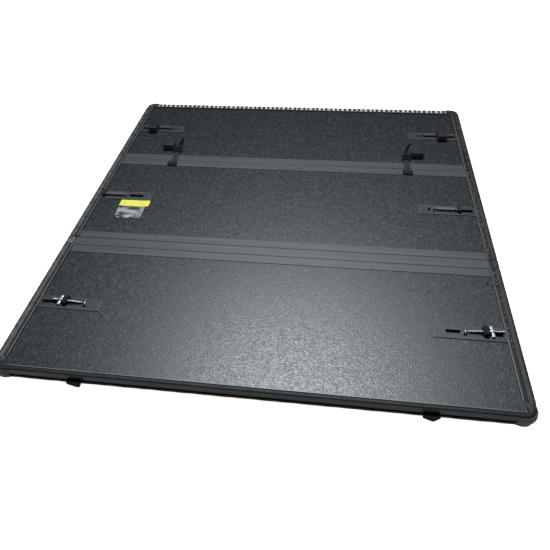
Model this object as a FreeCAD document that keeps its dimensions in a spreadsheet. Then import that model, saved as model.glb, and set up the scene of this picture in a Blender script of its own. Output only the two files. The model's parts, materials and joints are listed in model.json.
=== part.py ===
import FreeCAD, Part
import os
from types import SimpleNamespace

import Sketcher

# A hard tri-fold cover for a pickup bed, lying with its weather side down.
# X is the width, +Y runs to the tailgate, and Z = 0 is the lowest line of the hinge barrels.

doc = FreeCAD.newDocument("tonneau_cover")
Vector = FreeCAD.Vector
nodes = []

# ---------------------------------------------------------------- sizes in mm and degrees

sizes = {
    # width, and the four lengths from the front (cab) edge to the rear (tailgate) edge
    "cover_width": 1480,
    "front_length": 511,
    "spacer_length": 40,
    "mid_length": 494,
    "rear_length": 467,
    # panel sandwich, measured up from the weather face
    "flange_thick": 1.5,
    "skin_thick": 1.5,
    "panel_depth": 28.5,
    "panel_inset": 6.5,
    "hinge_inset": 8.3,
    # edge rails
    "rail_width": 29,
    "front_rail_width": 16,
    "rail_wall": 2.5,
    "flange_reach": 24,
    "bevel_reach": 4,
    "bevel_rise": 12,
    "cap_thick": 2,
    "wall_rise": 2.5,
    "lip_rise": 5.5,
    "lip_thick": 3.5,
    "seal_rise": 7.5,
    "seal_gap": 0.5,
    "corner_reach": 45,
    "corner_radius": 30,
    "cap_slack": 0.3,
    "end_cap_thick": 2.5,
    "end_gap": 0.2,
    # hinges
    "hinge_radius": 3.5,
    "pin_radius": 1.6,
    "pin_gap": 0.15,
    "relief_gap": 0.5,
    "hinge_gap": 1.5,
    "knuckle_gap": 0.6,
    "hinge_margin": 30,
    "hinge_block": 8,
    "front_hinge_rail": 34,
    "mid_front_rail": 32,
    "mid_rear_rail": 40,
    "rear_hinge_rail": 39,
    "spacer_wall": 7.5,
    # latch tracks
    "track_length": 203,
    "track_width": 46,
    "plate_thick": 3,
    "plate_round": 4,
    "channel_start": 32,
    "channel_width": 34,
    "channel_depth": 10,
    "channel_wall": 1.8,
    "slot_start": 36,
    "slot_end": 196,
    "slot_width": 15,
    "screw_inset": 12,
    "screw_radius": 2,
    "screw_gap": 0.3,
    "screw_length": 9,
    "screw_head": 4,
    # tracks' distance from the middle of their panel, towards the tailgate
    "front_track_shift": -5.5,
    "mid_track_shift": -3,
    "rear_track_shift": 13.5,
    # latch pieces
    "shoe_length": 22,
    "slide_gap": 0.6,
    "saddle_thick": 1.8,
    "saddle_width": 17,
    "fork_gap": 7.4,
    "eye_wall": 2.7,
    "eye_clear": 0.2,
    "eye_width": 6.2,
    "jaw_eye_radius": 3.4,
    "pivot_pin_radius": 1.5,
    "rod_radius": 3,
    "rod_length": 110,
    "rod_turn": 4,
    "rod_eye_gap": 0.45,
    "jaw_length": 16,
    "jaw_width": 33,
    "jaw_height": 17.5,
    "jaw_float": 0.6,
    "nut_spacing": 19,
    "nut_length": 12,
    "nut_wall": 2.5,
    "wing_span": 38,
    "wing_width": 10,
    "wing_thick": 4,
    "arm_width": 13,
    "arm_thick": 5,
    "mid_arm_length": 80,
    "rear_arm_length": 60,
    "arm_jaw_reach": 15,
    "arm_jaw_width": 30,
    "arm_jaw_height": 15,
    "block_reach": 41,
    "block_width": 47,
    "block_overhang": 6,
    "block_height": 26.4,
    # sliders' pivots, inboard of the side rail
    "front_right_inset": 113,
    "front_left_inset": 153,
    "mid_right_inset": 146,
    "mid_left_inset": 99,
    "rear_inset": 149,
    "front_right_jaw": 57,
    "front_left_jaw": 66,
    # rest blocks, stow straps, labels
    "rest_length": 50,
    "rest_width": 38,
    "rest_height": 30,
    "rest_inset": 22,
    "rest_at": 89,
    "strap_inset": 28,
    "strap_width": 25,
    "strap_thick": 1.6,
    "strap_lift": 0.6,
    "anchor_width": 40,
    "anchor_length": 26,
    "anchor_height": 6,
    "buckle_start": 56,
    "buckle_length": 33,
    "buckle_width": 34,
    "buckle_height": 9,
    "tail_rise": 40,
    "tail_run": 32,
    "catch_width": 36,
    "catch_reach": 12,
    "catch_height": 13,
    "label_thick": 0.4,
    "top_label_length": 122,
    "top_label_width": 36,
    "low_label_length": 92,
    "low_label_width": 68,
    "label_inset": 8,
    "label_gap": 1,
    "label_space": 3,
}

sheet = doc.addObject("Spreadsheet::Sheet", "Sizes")
for row, (alias, number) in enumerate(sizes.items(), 1):
    sheet.set(f"A{row}", alias)
    sheet.set(f"B{row}", str(number))
    sheet.setAlias(f"B{row}", alias)
doc.recompute()


class Size:
    """A length worked out from the sheet: its expression and its present value."""

    def __init__(self, text, value):
        self.text = text
        self.value = float(value)

    def __add__(self, other):
        other = as_size(other)
        return Size(f"({self.text} + {other.text})", self.value + other.value)

    def __sub__(self, other):
        other = as_size(other)
        return Size(f"({self.text} - {other.text})", self.value - other.value)

    def __mul__(self, other):
        other = as_size(other)
        return Size(f"({self.text} * {other.text})", self.value * other.value)

    def __truediv__(self, other):
        other = as_size(other)
        return Size(f"({self.text} / {other.text})", self.value / other.value)

    def __neg__(self):
        return Size(f"(0 - {self.text})", -self.value)

    def __radd__(self, other):
        return as_size(other) + self

    def __rsub__(self, other):
        return as_size(other) - self

    def __rmul__(self, other):
        return as_size(other) * self


def as_size(number):
    return number if isinstance(number, Size) else Size(f"({number})", number)


s = SimpleNamespace(**{alias: Size(f"Sizes.{alias}", number) for alias, number in sizes.items()})

# ---------------------------------------------------------------- building blocks


def bind(item, **lengths):
    """Ties properties of an object to sizes."""
    for name, length in lengths.items():
        item.setExpression(name, as_size(length).text)


def place(item, x=0, y=0, z=0, turn=None):
    """Puts an object at a point, turned about Z by turn degrees."""
    angle = as_size(0 if turn is None else turn)
    item.Placement = FreeCAD.Placement(Vector(0, 0, 0), FreeCAD.Rotation(Vector(0, 0, 1), 0))
    if turn is not None:
        item.setExpression(".Placement.Rotation.Angle", angle.text)
    for axis, length in zip("xyz", (x, y, z)):
        item.setExpression(f".Placement.Base.{axis}", as_size(length).text)
    return item


def box(name, x, y, z):
    """A block between two planes on each axis."""
    block = doc.addObject("Part::Box", name)
    lows = []
    for side_name, pair in zip(("Length", "Width", "Height"), (x, y, z)):
        low, high = sorted(map(as_size, pair), key=lambda edge: edge.value)
        bind(block, **{side_name: high - low})
        lows.append(low)
    return place(block, *lows)


def rod(name, axis, radius, length, x=0, y=0, z=0):
    """A round bar from a point along X, Y or Z."""
    bar = doc.addObject("Part::Cylinder", name)
    bind(bar, Radius=radius, Height=length)
    turned = {
        "X": FreeCAD.Rotation(Vector(0, 1, 0), 90),
        "Y": FreeCAD.Rotation(Vector(1, 0, 0), -90),
        "Z": FreeCAD.Rotation(),
    }[axis]
    bar.Placement = FreeCAD.Placement(Vector(0, 0, 0), turned)
    for letter, start in zip("xyz", (x, y, z)):
        bar.setExpression(f".Placement.Base.{letter}", as_size(start).text)
    return bar


def fuse(name, *shapes):
    joined = doc.addObject("Part::MultiFuse", name)
    joined.Shapes = list(shapes)
    joined.Refine = True
    return joined


def cut(name, base, *tools):
    tool = tools[0] if len(tools) == 1 else fuse(f"{name}_tool", *tools)
    result = doc.addObject("Part::Cut", name)
    result.Base = base
    result.Tool = tool
    return result


def mirror(name, source):
    """The same piece on the other side of the centre line."""
    other = doc.addObject("Part::Mirroring", name)
    other.Source = source
    other.Base = Vector(0, 0, 0)
    other.Normal = Vector(1, 0, 0)
    return other


def node(label, *pieces):
    """Names a finished sub-part; several pieces stay separate solids in it."""
    item = pieces[0]
    if len(pieces) > 1:
        item = doc.addObject("Part::Compound", f"{label}_group")
        item.Links = list(pieces)
    item.Label = label
    nodes.append(item)
    return item


def plane(body, role):
    return next(feature for feature in body.Origin.OriginFeatures if feature.Role == role)


def outline(body, name, role, points, offset=None):
    """A sketch of straight runs through points, each corner held by its two distances."""
    sketch = body.newObject("Sketcher::SketchObject", name)
    sketch.AttachmentSupport = [(plane(body, role), "")]
    sketch.MapMode = "FlatFace"
    if offset is not None:
        sketch.setExpression(".AttachmentOffset.Base.z", offset.text)
    points = [(as_size(a), as_size(b)) for a, b in points]
    count = len(points)
    for index, (a, b) in enumerate(points):
        c, d = points[(index + 1) % count]
        start = Vector(a.value, b.value, 0)
        sketch.addGeometry(Part.LineSegment(start, Vector(c.value, d.value, 0)), False)
    for index in range(count):
        sketch.addConstraint(Sketcher.Constraint("Coincident", index, 2, (index + 1) % count, 1))
    for index, corner in enumerate(points):
        for kind, length in zip(("DistanceX", "DistanceY"), corner):
            held = sketch.addConstraint(Sketcher.Constraint(kind, -1, 1, index, 1, length.value))
            sketch.setExpression(f"Constraints[{held}]", length.text)
    return sketch


def new_body(name):
    return doc.addObject("PartDesign::Body", name)


def pad(body, name, sketch, length, backwards=False):
    feature = body.newObject("PartDesign::Pad", name)
    feature.Profile = sketch
    bind(feature, Length=length)
    feature.Reversed = backwards
    return feature


def pocket(body, name, sketch, depth, backwards=False):
    feature = body.newObject("PartDesign::Pocket", name)
    feature.Profile = sketch
    bind(feature, Length=depth)
    feature.Reversed = backwards
    return feature


def round_edges(body, name, base, radius, wanted):
    """Rounds the edges of the last feature that the test picks out."""
    doc.recompute()
    feature = body.newObject("PartDesign::Fillet", name)
    edges = [f"Edge{n}" for n, edge in enumerate(base.Shape.Edges, 1) if wanted(edge)]
    feature.Base = (base, edges)
    bind(feature, Radius=radius)
    return feature


def upright(edge):
    """True for a straight edge along Z."""
    first, last = edge.Vertexes[0].Point, edge.Vertexes[-1].Point
    return abs(first.x - last.x) < 1e-6 and abs(first.y - last.y) < 1e-6


def rectangle(x, y):
    return [(x[0], y[0]), (x[1], y[0]), (x[1], y[1]), (x[0], y[1])]


# ---------------------------------------------------------------- shared levels and lines

weather = s.hinge_radius
underside = weather + s.panel_depth
cap_top = underside + s.cap_thick
wall_top = cap_top + s.wall_rise
lip_top = cap_top + s.lip_rise
seal_top = cap_top + s.seal_rise
side = s.cover_width / 2
cover_length = s.front_length + s.spacer_length + s.mid_length + s.rear_length
front_edge = (s.catch_reach - cover_length) / 2
rear_edge = front_edge + cover_length
front_hinge = front_edge + s.front_length
mid_hinge = front_hinge + s.spacer_length
rear_hinge = mid_hinge + s.mid_length
half_gap = s.hinge_gap / 2
rail_inner = side - s.rail_width
track_start = rail_inner - s.track_length
track_y = {
    "front": (front_edge + front_hinge) / 2 + s.front_track_shift,
    "mid": (mid_hinge + rear_hinge) / 2 + s.mid_track_shift,
    "rear": (rear_hinge + rear_edge) / 2 + s.rear_track_shift,
}
eye_radius = s.pivot_pin_radius + s.eye_wall
saddle_top = s.plate_thick + s.slide_gap / 2 + s.saddle_thick
pivot_height = saddle_top + s.eye_clear + eye_radius

# ---------------------------------------------------------------- sandwich panels


def panel_slab(name, y, z, rounded):
    """A flat slab inside the rails; its outer corners follow the corner caps."""
    body = new_body(name)
    width = side - s.panel_inset
    sketch = outline(body, f"{name}_outline", "XY_Plane", rectangle((-width, width), y))
    slab = pad(body, f"{name}_pad", sketch, z[1] - z[0])
    if rounded:
        edge_y = as_size(rounded).value
        round_edges(body, f"{name}_corners", slab, s.corner_radius - s.panel_inset,
                    lambda edge: upright(edge) and abs(edge.Vertexes[0].Y - edge_y) < 1e-3)
    return place(body, z=z[0])


def track_cavities(name, y):
    """The recess that each latch channel lies in, on both sides."""
    half = s.channel_width / 2
    right = box(f"{name}_recess", (track_start + s.channel_start, rail_inner + s.rail_width),
                (y - half, y + half), (underside - s.channel_depth, cap_top))
    return right, mirror(f"{name}_recess_left", right)


def screw_holes(name, y):
    """The bores of the track screws, on both sides."""
    bore = rod(f"{name}_bore", "Z", s.screw_radius, s.screw_length, track_start + s.screw_inset, y,
               underside - s.screw_length)
    return bore, mirror(f"{name}_bore_left", bore)


def sandwich(where, y, rounded=None):
    """Foam core with a weather skin below and an embossed skin above."""
    skin_low = weather + s.flange_thick
    skin_high = skin_low + s.skin_thick
    core = panel_slab(f"{where}_core_slab", y, (skin_high, underside - s.skin_thick), rounded)
    core = cut(f"{where}_core_cut", core, *track_cavities(f"{where}_core", track_y[where]),
               *screw_holes(f"{where}_core", track_y[where]))
    node(f"{where}_panel_core", core)
    outer = panel_slab(f"{where}_weather_slab", y, (skin_low, skin_high), rounded)
    inner = panel_slab(f"{where}_under_slab", y, (underside - s.skin_thick, underside), rounded)
    inner = cut(f"{where}_under_cut", inner, *track_cavities(f"{where}_under", track_y[where]),
                *screw_holes(f"{where}_under", track_y[where]))
    node(f"{where}_panel_skins", outer, inner)


sandwich("front", (front_edge + s.panel_inset, front_hinge - s.hinge_inset), front_edge + s.panel_inset)
sandwich("mid", (mid_hinge + s.hinge_inset, rear_hinge - s.hinge_inset))
sandwich("rear", (rear_hinge + s.hinge_inset, rear_edge - s.panel_inset), rear_edge - s.panel_inset)

# ---------------------------------------------------------------- edge rails


def rail_section(width):
    """Points of the rail's section, across from the outer face and up from Z = 0."""
    web_foot = s.bevel_reach + s.rail_wall - s.cap_slack
    return [
        (s.bevel_reach, weather),
        (s.flange_reach, weather),
        (s.flange_reach, weather + s.flange_thick),
        (web_foot, weather + s.flange_thick),
        (s.rail_wall, weather + s.bevel_rise),
        (s.rail_wall, underside),
        (width, underside),
        (width, lip_top),
        (width - s.lip_thick, lip_top),
        (width - s.lip_thick, cap_top),
        (s.rail_wall, cap_top),
        (s.rail_wall, wall_top),
        (as_size(0), wall_top),
        (as_size(0), weather + s.bevel_rise),
    ]


def side_rails(where, y):
    """A rail along each side of a panel, between two stations."""
    body = new_body(f"{where}_side_rail_right")
    points = [(side - across, up) for across, up in rail_section(s.rail_width)]
    sketch = outline(body, f"{where}_side_rail_section", "XZ_Plane", points)
    pad(body, f"{where}_side_rail_pad", sketch, y[1] - y[0])
    place(body, y=y[1])
    node(f"{where}_side_rails", body, mirror(f"{where}_side_rail_left", body))


def end_rail(label, edge, inward, width):
    """A rail across the cover, between its corner caps."""
    body = new_body(f"{label}_body")
    points = [(edge + inward * across, up) for across, up in rail_section(width)]
    reach = side - s.corner_reach
    pad(body, f"{label}_pad", outline(body, f"{label}_section", "YZ_Plane", points), 2 * reach)
    place(body, x=-reach)
    node(label, body)


side_rails("front", (front_edge + s.corner_reach, front_hinge - half_gap))
side_rails("mid", (mid_hinge + half_gap, rear_hinge - half_gap))
side_rails("rear", (rear_hinge + half_gap, rear_edge - s.corner_reach))
end_rail("front_rail", front_edge, 1, s.front_rail_width)
end_rail("rear_rail", rear_edge, -1, s.rail_width)


def elbow(edge, inward, outer, side_inner, end_inner):
    """Plan of one layer of a corner cap, between an outer offset and an inner one on each leg."""
    reach = s.corner_reach
    return [
        (side - outer, edge + inward * outer),
        (side - outer, edge + inward * reach),
        (side - side_inner, edge + inward * reach),
        (side - side_inner, edge + inward * end_inner),
        (side - reach, edge + inward * end_inner),
        (side - reach, edge + inward * outer),
    ]


def cap_layer(name, edge, inward, offsets, z):
    """One level of a corner cap: its outer corner is rounded, and its inner one where both legs are as deep."""
    piece = new_body(name)
    sketch = outline(piece, f"{name}_outline", "XY_Plane", elbow(edge, inward, *offsets))
    feature = pad(piece, f"{name}_pad", sketch, z[1] - z[0])
    outer, side_inner, end_inner = offsets
    rounded = {"outer": outer}
    if side_inner.text == end_inner.text and side_inner.value < s.corner_radius.value:
        rounded["inner"] = side_inner
    for title, offset in rounded.items():
        corner = Vector((side - offset).value, (edge + inward * offset).value, 0)
        feature = round_edges(piece, f"{name}_{title}_round", feature, s.corner_radius - offset,
                              lambda line: upright(line) and over(line, corner))
    return place(piece, z=z[0])


def over(edge, corner):
    """True for an upright edge that stands on a corner."""
    point = edge.Vertexes[0].Point
    return abs(point.x - corner.x) < 1e-3 and abs(point.y - corner.y) < 1e-3


def corner_caps(where, edge, inward, width):
    """A moulded cap at each corner, a channel that turns through the corner radius."""
    name = f"{where}_corner_cap"
    toe = s.bevel_reach / 2
    heel = s.bevel_reach + s.rail_wall - s.cap_slack
    layers = {
        "flange": ((toe, s.flange_reach, s.flange_reach), (weather, weather + s.flange_thick)),
        "toe": ((toe, heel, heel), (weather, weather + s.bevel_rise / 2)),
        "web": ((as_size(0), s.rail_wall, s.rail_wall), (weather + s.flange_thick, wall_top)),
        "cap": ((toe, s.rail_width, width), (underside, cap_top)),
    }
    pieces = [cap_layer(f"{name}_{title}", edge, inward, *layer) for title, layer in layers.items()]
    lip_inner = rail_inner + s.lip_thick
    end_lip = edge + inward * width
    pieces.append(box(f"{name}_side_lip", (rail_inner, lip_inner),
                      (end_lip - inward * s.lip_thick, edge + inward * s.corner_reach), (cap_top, lip_top)))
    pieces.append(box(f"{name}_end_lip", (side - s.corner_reach, lip_inner),
                      (end_lip - inward * s.lip_thick, end_lip), (cap_top, lip_top)))
    right = fuse(name, *pieces)
    node(f"{where}_corner_caps", right, mirror(f"{name}_left", right))


corner_caps("front", front_edge, 1, s.front_rail_width)
corner_caps("rear", rear_edge, -1, s.rail_width)

# ---------------------------------------------------------------- rubber seals


def end_seal(where, edge, inward, width, hinge_end):
    """A seal along both sides and one end of a panel, in the groove of its rails."""
    body = new_body(f"{where}_seal_body")
    outer = s.rail_wall + s.seal_gap
    inner = s.rail_width - s.lip_thick - s.seal_gap
    across = side - outer
    points = [
        (-across, edge + inward * outer),
        (across, edge + inward * outer),
        (across, hinge_end),
        (side - inner, hinge_end),
        (side - inner, edge + inward * (width - s.lip_thick - s.seal_gap)),
        (inner - side, edge + inward * (width - s.lip_thick - s.seal_gap)),
        (inner - side, hinge_end),
        (-across, hinge_end),
    ]
    sketch = outline(body, f"{where}_seal_outline", "XY_Plane", points)
    block = pad(body, f"{where}_seal_pad", sketch, s.seal_rise)
    end_y = points[0][1].value
    round_edges(body, f"{where}_seal_round", block, s.corner_radius - outer,
                lambda edge: upright(edge) and abs(edge.Vertexes[0].Y - end_y) < 1e-3)
    node(f"{where}_panel_seal", place(body, z=cap_top))


def side_seals(label, y):
    """A straight seal on each side, between two stations."""
    outer = s.rail_wall + s.seal_gap
    inner = s.rail_width - s.lip_thick - s.seal_gap
    strip = box(f"{label}_right", (side - inner, side - outer), y, (cap_top, seal_top))
    node(label, strip, mirror(f"{label}_left", strip))


end_seal("front", front_edge, 1, s.front_rail_width, front_hinge - s.hinge_gap)
end_seal("rear", rear_edge, -1, s.rail_width, rear_hinge + s.hinge_gap)
side_seals("mid_panel_seals", (mid_hinge + s.hinge_gap, rear_hinge - s.hinge_gap))
side_seals("spacer_seals", (front_hinge + s.hinge_gap, mid_hinge - s.hinge_gap))

# ---------------------------------------------------------------- hinges

hinge_reach = side - s.hinge_margin
knuckle_count = 7
knuckle_pitch = 2 * hinge_reach / knuckle_count


def knuckles(name, hinge, toward, first):
    """Every second barrel of a hinge line, each with a web back to its own rail."""
    pieces = []
    length = knuckle_pitch - s.knuckle_gap
    for index in range(first, knuckle_count, 2):
        start = -hinge_reach + knuckle_pitch * index
        pieces.append(rod(f"{name}_barrel_{index}", "X", s.hinge_radius, length, start, hinge, weather))
        pieces.append(box(f"{name}_web_{index}", (start, start + length), (hinge, hinge + toward * s.hinge_block),
                          (weather + s.pin_gap, weather + s.hinge_radius)))
    return pieces


def relief(name, hinge):
    """The round hollow that leaves room for the other leaf's barrels."""
    radius = s.hinge_radius + s.relief_gap
    return rod(name, "X", radius, 2 * side, -side, hinge, weather)


def pin_bore(name, hinge):
    return rod(name, "X", s.pin_radius + s.pin_gap, 2 * side, -side, hinge, weather)


def hinge_rail(label, hinge, toward, width, first):
    """A rail along a hinge line; toward is the side of the line that its panel is on."""
    body = new_body(f"{label}_body")
    block = s.hinge_block
    wall = half_gap + s.rail_wall
    section = [
        (half_gap, weather),
        (s.flange_reach, weather),
        (s.flange_reach, weather + s.flange_thick),
        (block, weather + s.flange_thick),
        (block, weather + block),
        (wall, weather + block),
        (wall, underside),
        (width, underside),
        (width, cap_top),
        (half_gap, cap_top),
    ]
    points = [(hinge + toward * across, up) for across, up in section]
    reach = rail_inner - s.end_gap
    pad(body, f"{label}_pad", outline(body, f"{label}_section", "YZ_Plane", points), 2 * reach)
    place(body, x=-reach)
    relieved = cut(f"{label}_relieved", body, relief(f"{label}_relief", hinge))
    joined = fuse(f"{label}_joined", relieved, *knuckles(label, hinge, toward, first))
    node(label, cut(f"{label}_bored", joined, pin_bore(f"{label}_bore", hinge)))


def spacer_bar():
    """The hollow bar between the front and middle panels, with a hinge on each edge."""
    body = new_body("spacer_body")
    y = (front_hinge + half_gap, mid_hinge - half_gap)
    reach = side - s.end_cap_thick
    sketch = outline(body, "spacer_outline", "YZ_Plane", rectangle(y, (weather, cap_top)))
    pad(body, "spacer_pad", sketch, 2 * reach)
    bore = outline(body, "spacer_bore", "YZ_Plane", rectangle(
        (y[0] + s.spacer_wall, y[1] - s.spacer_wall), (weather + s.cap_thick, cap_top - s.cap_thick)))
    pocket(body, "spacer_pocket", bore, 2 * reach, backwards=True)
    place(body, x=-reach)
    relieved = cut("spacer_relieved", body, relief("spacer_front_relief", front_hinge),
                   relief("spacer_mid_relief", mid_hinge))
    joined = fuse("spacer_joined", relieved, *knuckles("spacer_front", front_hinge, 1, 1),
                  *knuckles("spacer_mid", mid_hinge, -1, 0))
    node("spacer_bar", cut("spacer_bored", joined, pin_bore("spacer_front_bore", front_hinge),
                           pin_bore("spacer_mid_bore", mid_hinge)))
    clear_of_hinge = weather + s.relief_gap + s.hinge_radius
    cap = box("spacer_end_cap", (side - s.end_cap_thick, side), y, (clear_of_hinge, wall_top))
    node("spacer_end_caps", cap, mirror("spacer_end_cap_left", cap))


def hinge_pin(label, hinge):
    pin = rod(f"{label}_bar", "X", s.pin_radius, 2 * hinge_reach, -hinge_reach, hinge, weather)
    node(label, pin)


hinge_rail("front_hinge_rail", front_hinge, -1, s.front_hinge_rail, 0)
spacer_bar()
hinge_rail("mid_front_hinge_rail", mid_hinge, 1, s.mid_front_rail, 1)
hinge_rail("mid_rear_hinge_rail", rear_hinge, -1, s.mid_rear_rail, 0)
hinge_rail("rear_hinge_rail", rear_hinge, 1, s.rear_hinge_rail, 1)
hinge_pin("front_hinge_pin", front_hinge)
hinge_pin("spacer_hinge_pin", mid_hinge)
hinge_pin("rear_hinge_pin", rear_hinge)

# ---------------------------------------------------------------- latch tracks

sides = {"right": (1, 0), "left": (-1, 180)}


def latch_track(where, hand):
    """A slotted plate over a channel that is let into the panel; X runs outboard."""
    name = f"{where}_{hand}_latch_track"
    sign, turn = sides[hand]
    half = s.channel_width / 2
    body = new_body(f"{name}_body")
    plan = rectangle((0, s.track_length), (-s.track_width / 2, s.track_width / 2))
    plate = pad(body, f"{name}_plate", outline(body, f"{name}_plan", "XY_Plane", plan), s.plate_thick)
    rounded = round_edges(body, f"{name}_corners", plate, s.plate_round,
                          lambda edge: upright(edge) and edge.Vertexes[0].X < 1e-3)
    body.Tip = rounded
    trough = [
        (-half, -s.channel_depth),
        (half, -s.channel_depth),
        (half, 0),
        (half - s.channel_wall, 0),
        (half - s.channel_wall, s.channel_wall - s.channel_depth),
        (s.channel_wall - half, s.channel_wall - s.channel_depth),
        (s.channel_wall - half, 0),
        (-half, 0),
    ]
    section = outline(body, f"{name}_trough", "YZ_Plane", trough, s.channel_start)
    pad(body, f"{name}_channel", section, s.track_length - s.channel_start)
    slot = outline(body, f"{name}_slot", "XY_Plane",
                   rectangle((s.slot_start, s.slot_end), (-s.slot_width / 2, s.slot_width / 2)))
    pocket(body, f"{name}_slot_cut", slot, s.plate_thick, backwards=True)
    bore = rod(f"{name}_screw_bore", "Z", s.screw_radius + s.screw_gap, s.plate_thick, s.screw_inset)
    track = cut(f"{name}_cut", body, bore)
    node(name, place(track, sign * track_start, track_y[where], underside, turn))


def track_screws(where):
    """The screw at the inboard end of each track, through the plate into the core."""
    x, y = track_start + s.screw_inset, track_y[where]
    head = rod(f"{where}_screw_head", "Z", s.screw_head, s.screw_radius, x, y, underside + s.plate_thick)
    shank = rod(f"{where}_screw_shank", "Z", s.screw_radius, s.screw_length + s.plate_thick, x, y,
                underside - s.screw_length)
    screw = fuse(f"{where}_screw", head, shank)
    node(f"{where}_track_screws", screw, mirror(f"{where}_screw_left", screw))


# ---------------------------------------------------------------- latches


def slider(name, at):
    """The shoe that runs in a track, with a fork above the plate and its pivot pin."""
    half_shoe = s.shoe_length / 2
    channel_half = s.channel_width / 2 - s.channel_wall - s.slide_gap
    floor = s.channel_wall - s.channel_depth + s.slide_gap
    seat = s.plate_thick + s.slide_gap / 2
    fork = s.saddle_width / 2
    shoe = box(f"{name}_shoe", (-half_shoe, half_shoe), (-channel_half, channel_half), (floor, -s.slide_gap))
    neck = s.slot_width / 2 - s.slide_gap
    neck = box(f"{name}_neck", (-fork, fork), (-neck, neck), (-s.slide_gap, seat))
    saddle = box(f"{name}_saddle", (-fork, fork), (-fork, fork), (seat, seat + s.saddle_thick))
    cheeks = [saddle]
    for sign in (-1, 1):
        span = (sign * s.fork_gap / 2, sign * fork)
        start = s.fork_gap / 2 if sign > 0 else -fork
        cheeks.append(box(f"{name}_cheek_{len(cheeks)}", (-eye_radius, eye_radius), span, (seat, pivot_height)))
        cheeks.append(rod(f"{name}_ear_{len(cheeks)}", "Y", eye_radius, fork - s.fork_gap / 2, 0, start,
                          pivot_height))
    block = fuse(f"{name}_block", shoe, neck, *cheeks)
    bore = rod(f"{name}_bore", "Y", s.pivot_pin_radius, 2 * fork, 0, -fork, pivot_height)
    bored = cut(f"{name}_bored", block, bore)
    pin = rod(f"{name}_pin", "Y", s.pivot_pin_radius, 2 * fork, 0, -fork, pivot_height)
    group = doc.addObject("Part::Compound", f"{name}_group")
    group.Links = [bored, pin]
    node(name, place(group, *at))


def eye(name, x, radius):
    """A round eye about a pivot along Y."""
    return rod(name, "Y", radius, s.eye_width, x, -s.eye_width / 2, pivot_height)


def eye_bore(name, x, gap):
    return rod(name, "Y", s.pivot_pin_radius + gap, s.eye_width, x, -s.eye_width / 2, pivot_height)


def clamp_rod(name, at):
    """The plated rod of a front latch, with an eye that is loose on the slider's pin."""
    bar = rod(f"{name}_bar", "X", s.rod_radius, s.rod_length, 0, 0, pivot_height)
    body = fuse(f"{name}_blank", bar, eye(f"{name}_eye", 0, eye_radius))
    node(name, place(cut(f"{name}_bored", body, eye_bore(f"{name}_bore", 0, s.rod_eye_gap)), *at))


def clamp_jaw(name, at, reach):
    """The plastic jaw that slides on the rod, with a sloping nose."""
    half = s.jaw_length / 2
    low = s.plate_thick + s.jaw_float
    top = low + s.jaw_height
    body = new_body(f"{name}_body")
    points = [
        (reach - half, low),
        (reach + half, low),
        (reach + half, top - half),
        (reach, top),
        (reach - half, top),
    ]
    pad(body, f"{name}_pad", outline(body, f"{name}_section", "XZ_Plane", points), s.jaw_width)
    place(body, y=s.jaw_width / 2)
    bore = rod(f"{name}_bore", "X", s.rod_radius + s.slide_gap / 2, s.jaw_length, reach - half, 0, pivot_height)
    node(name, place(cut(f"{name}_bored", body, bore), *at))


def wing_nut(name, at, reach):
    """The nut that draws the jaw along, with a flat wing on each side."""
    half = s.nut_length / 2
    hub = rod(f"{name}_hub", "X", s.rod_radius + s.nut_wall, s.nut_length, reach - half, 0, pivot_height)
    wings = box(f"{name}_wings", (reach - s.wing_width / 2, reach + s.wing_width / 2),
                (-s.wing_span / 2, s.wing_span / 2),
                (pivot_height - s.wing_thick / 2, pivot_height + s.wing_thick / 2))
    bore = rod(f"{name}_bore", "X", s.rod_radius + s.slide_gap / 2, s.nut_length, reach - half, 0, pivot_height)
    node(name, place(cut(f"{name}_bored", fuse(f"{name}_blank", hub, wings), bore), *at))


def latch_arm(name, at, length):
    """The flat arm of a middle or rear latch, with a narrow tongue and an eye at each end."""
    neck = s.saddle_width / 2 + s.slide_gap
    z = (pivot_height - s.arm_thick / 2, pivot_height + s.arm_thick / 2)
    tongue = box(f"{name}_tongue", (0, length), (-s.eye_width / 2, s.eye_width / 2), z)
    blade = box(f"{name}_blade", (neck, length - neck), (-s.arm_width / 2, s.arm_width / 2), z)
    ends = (eye(f"{name}_inner_eye", 0, eye_radius), eye(f"{name}_outer_eye", length, s.jaw_eye_radius))
    blank = fuse(f"{name}_blank", tongue, blade, *ends)
    node(name, place(cut(f"{name}_bored", blank, eye_bore(f"{name}_inner_bore", 0, s.pin_gap),
                         eye_bore(f"{name}_outer_bore", length, s.pin_gap)), *at))


def hinged_jaw(name, at, length, reach, y, height):
    """A jaw that tips up on the end of an arm, with two ears and its pin."""
    low = s.plate_thick + s.jaw_float
    heel = s.jaw_eye_radius + s.slide_gap
    block = box(f"{name}_block", (length + heel, length + reach), y, (low, low + height))
    fork = s.saddle_width / 2
    ears = []
    for sign in (-1, 1):
        start = s.fork_gap / 2 if sign > 0 else -fork
        span = (sign * s.fork_gap / 2, sign * fork)
        z = (pivot_height - s.jaw_eye_radius, pivot_height + s.jaw_eye_radius)
        ears.append(box(f"{name}_cheek_{len(ears)}", (length, length + heel), span, z))
        ears.append(rod(f"{name}_ear_{len(ears)}", "Y", s.jaw_eye_radius, fork - s.fork_gap / 2, length, start,
                        pivot_height))
    joined = fuse(f"{name}_joined", block, *ears)
    bored = cut(f"{name}_bored", joined,
                rod(f"{name}_bore", "Y", s.pivot_pin_radius, 2 * fork, length, -fork, pivot_height))
    pin = rod(f"{name}_pin", "Y", s.pivot_pin_radius, 2 * fork, length, -fork, pivot_height)
    group = doc.addObject("Part::Compound", f"{name}_group")
    group.Links = [bored, pin]
    node(name, place(group, *at))


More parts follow.
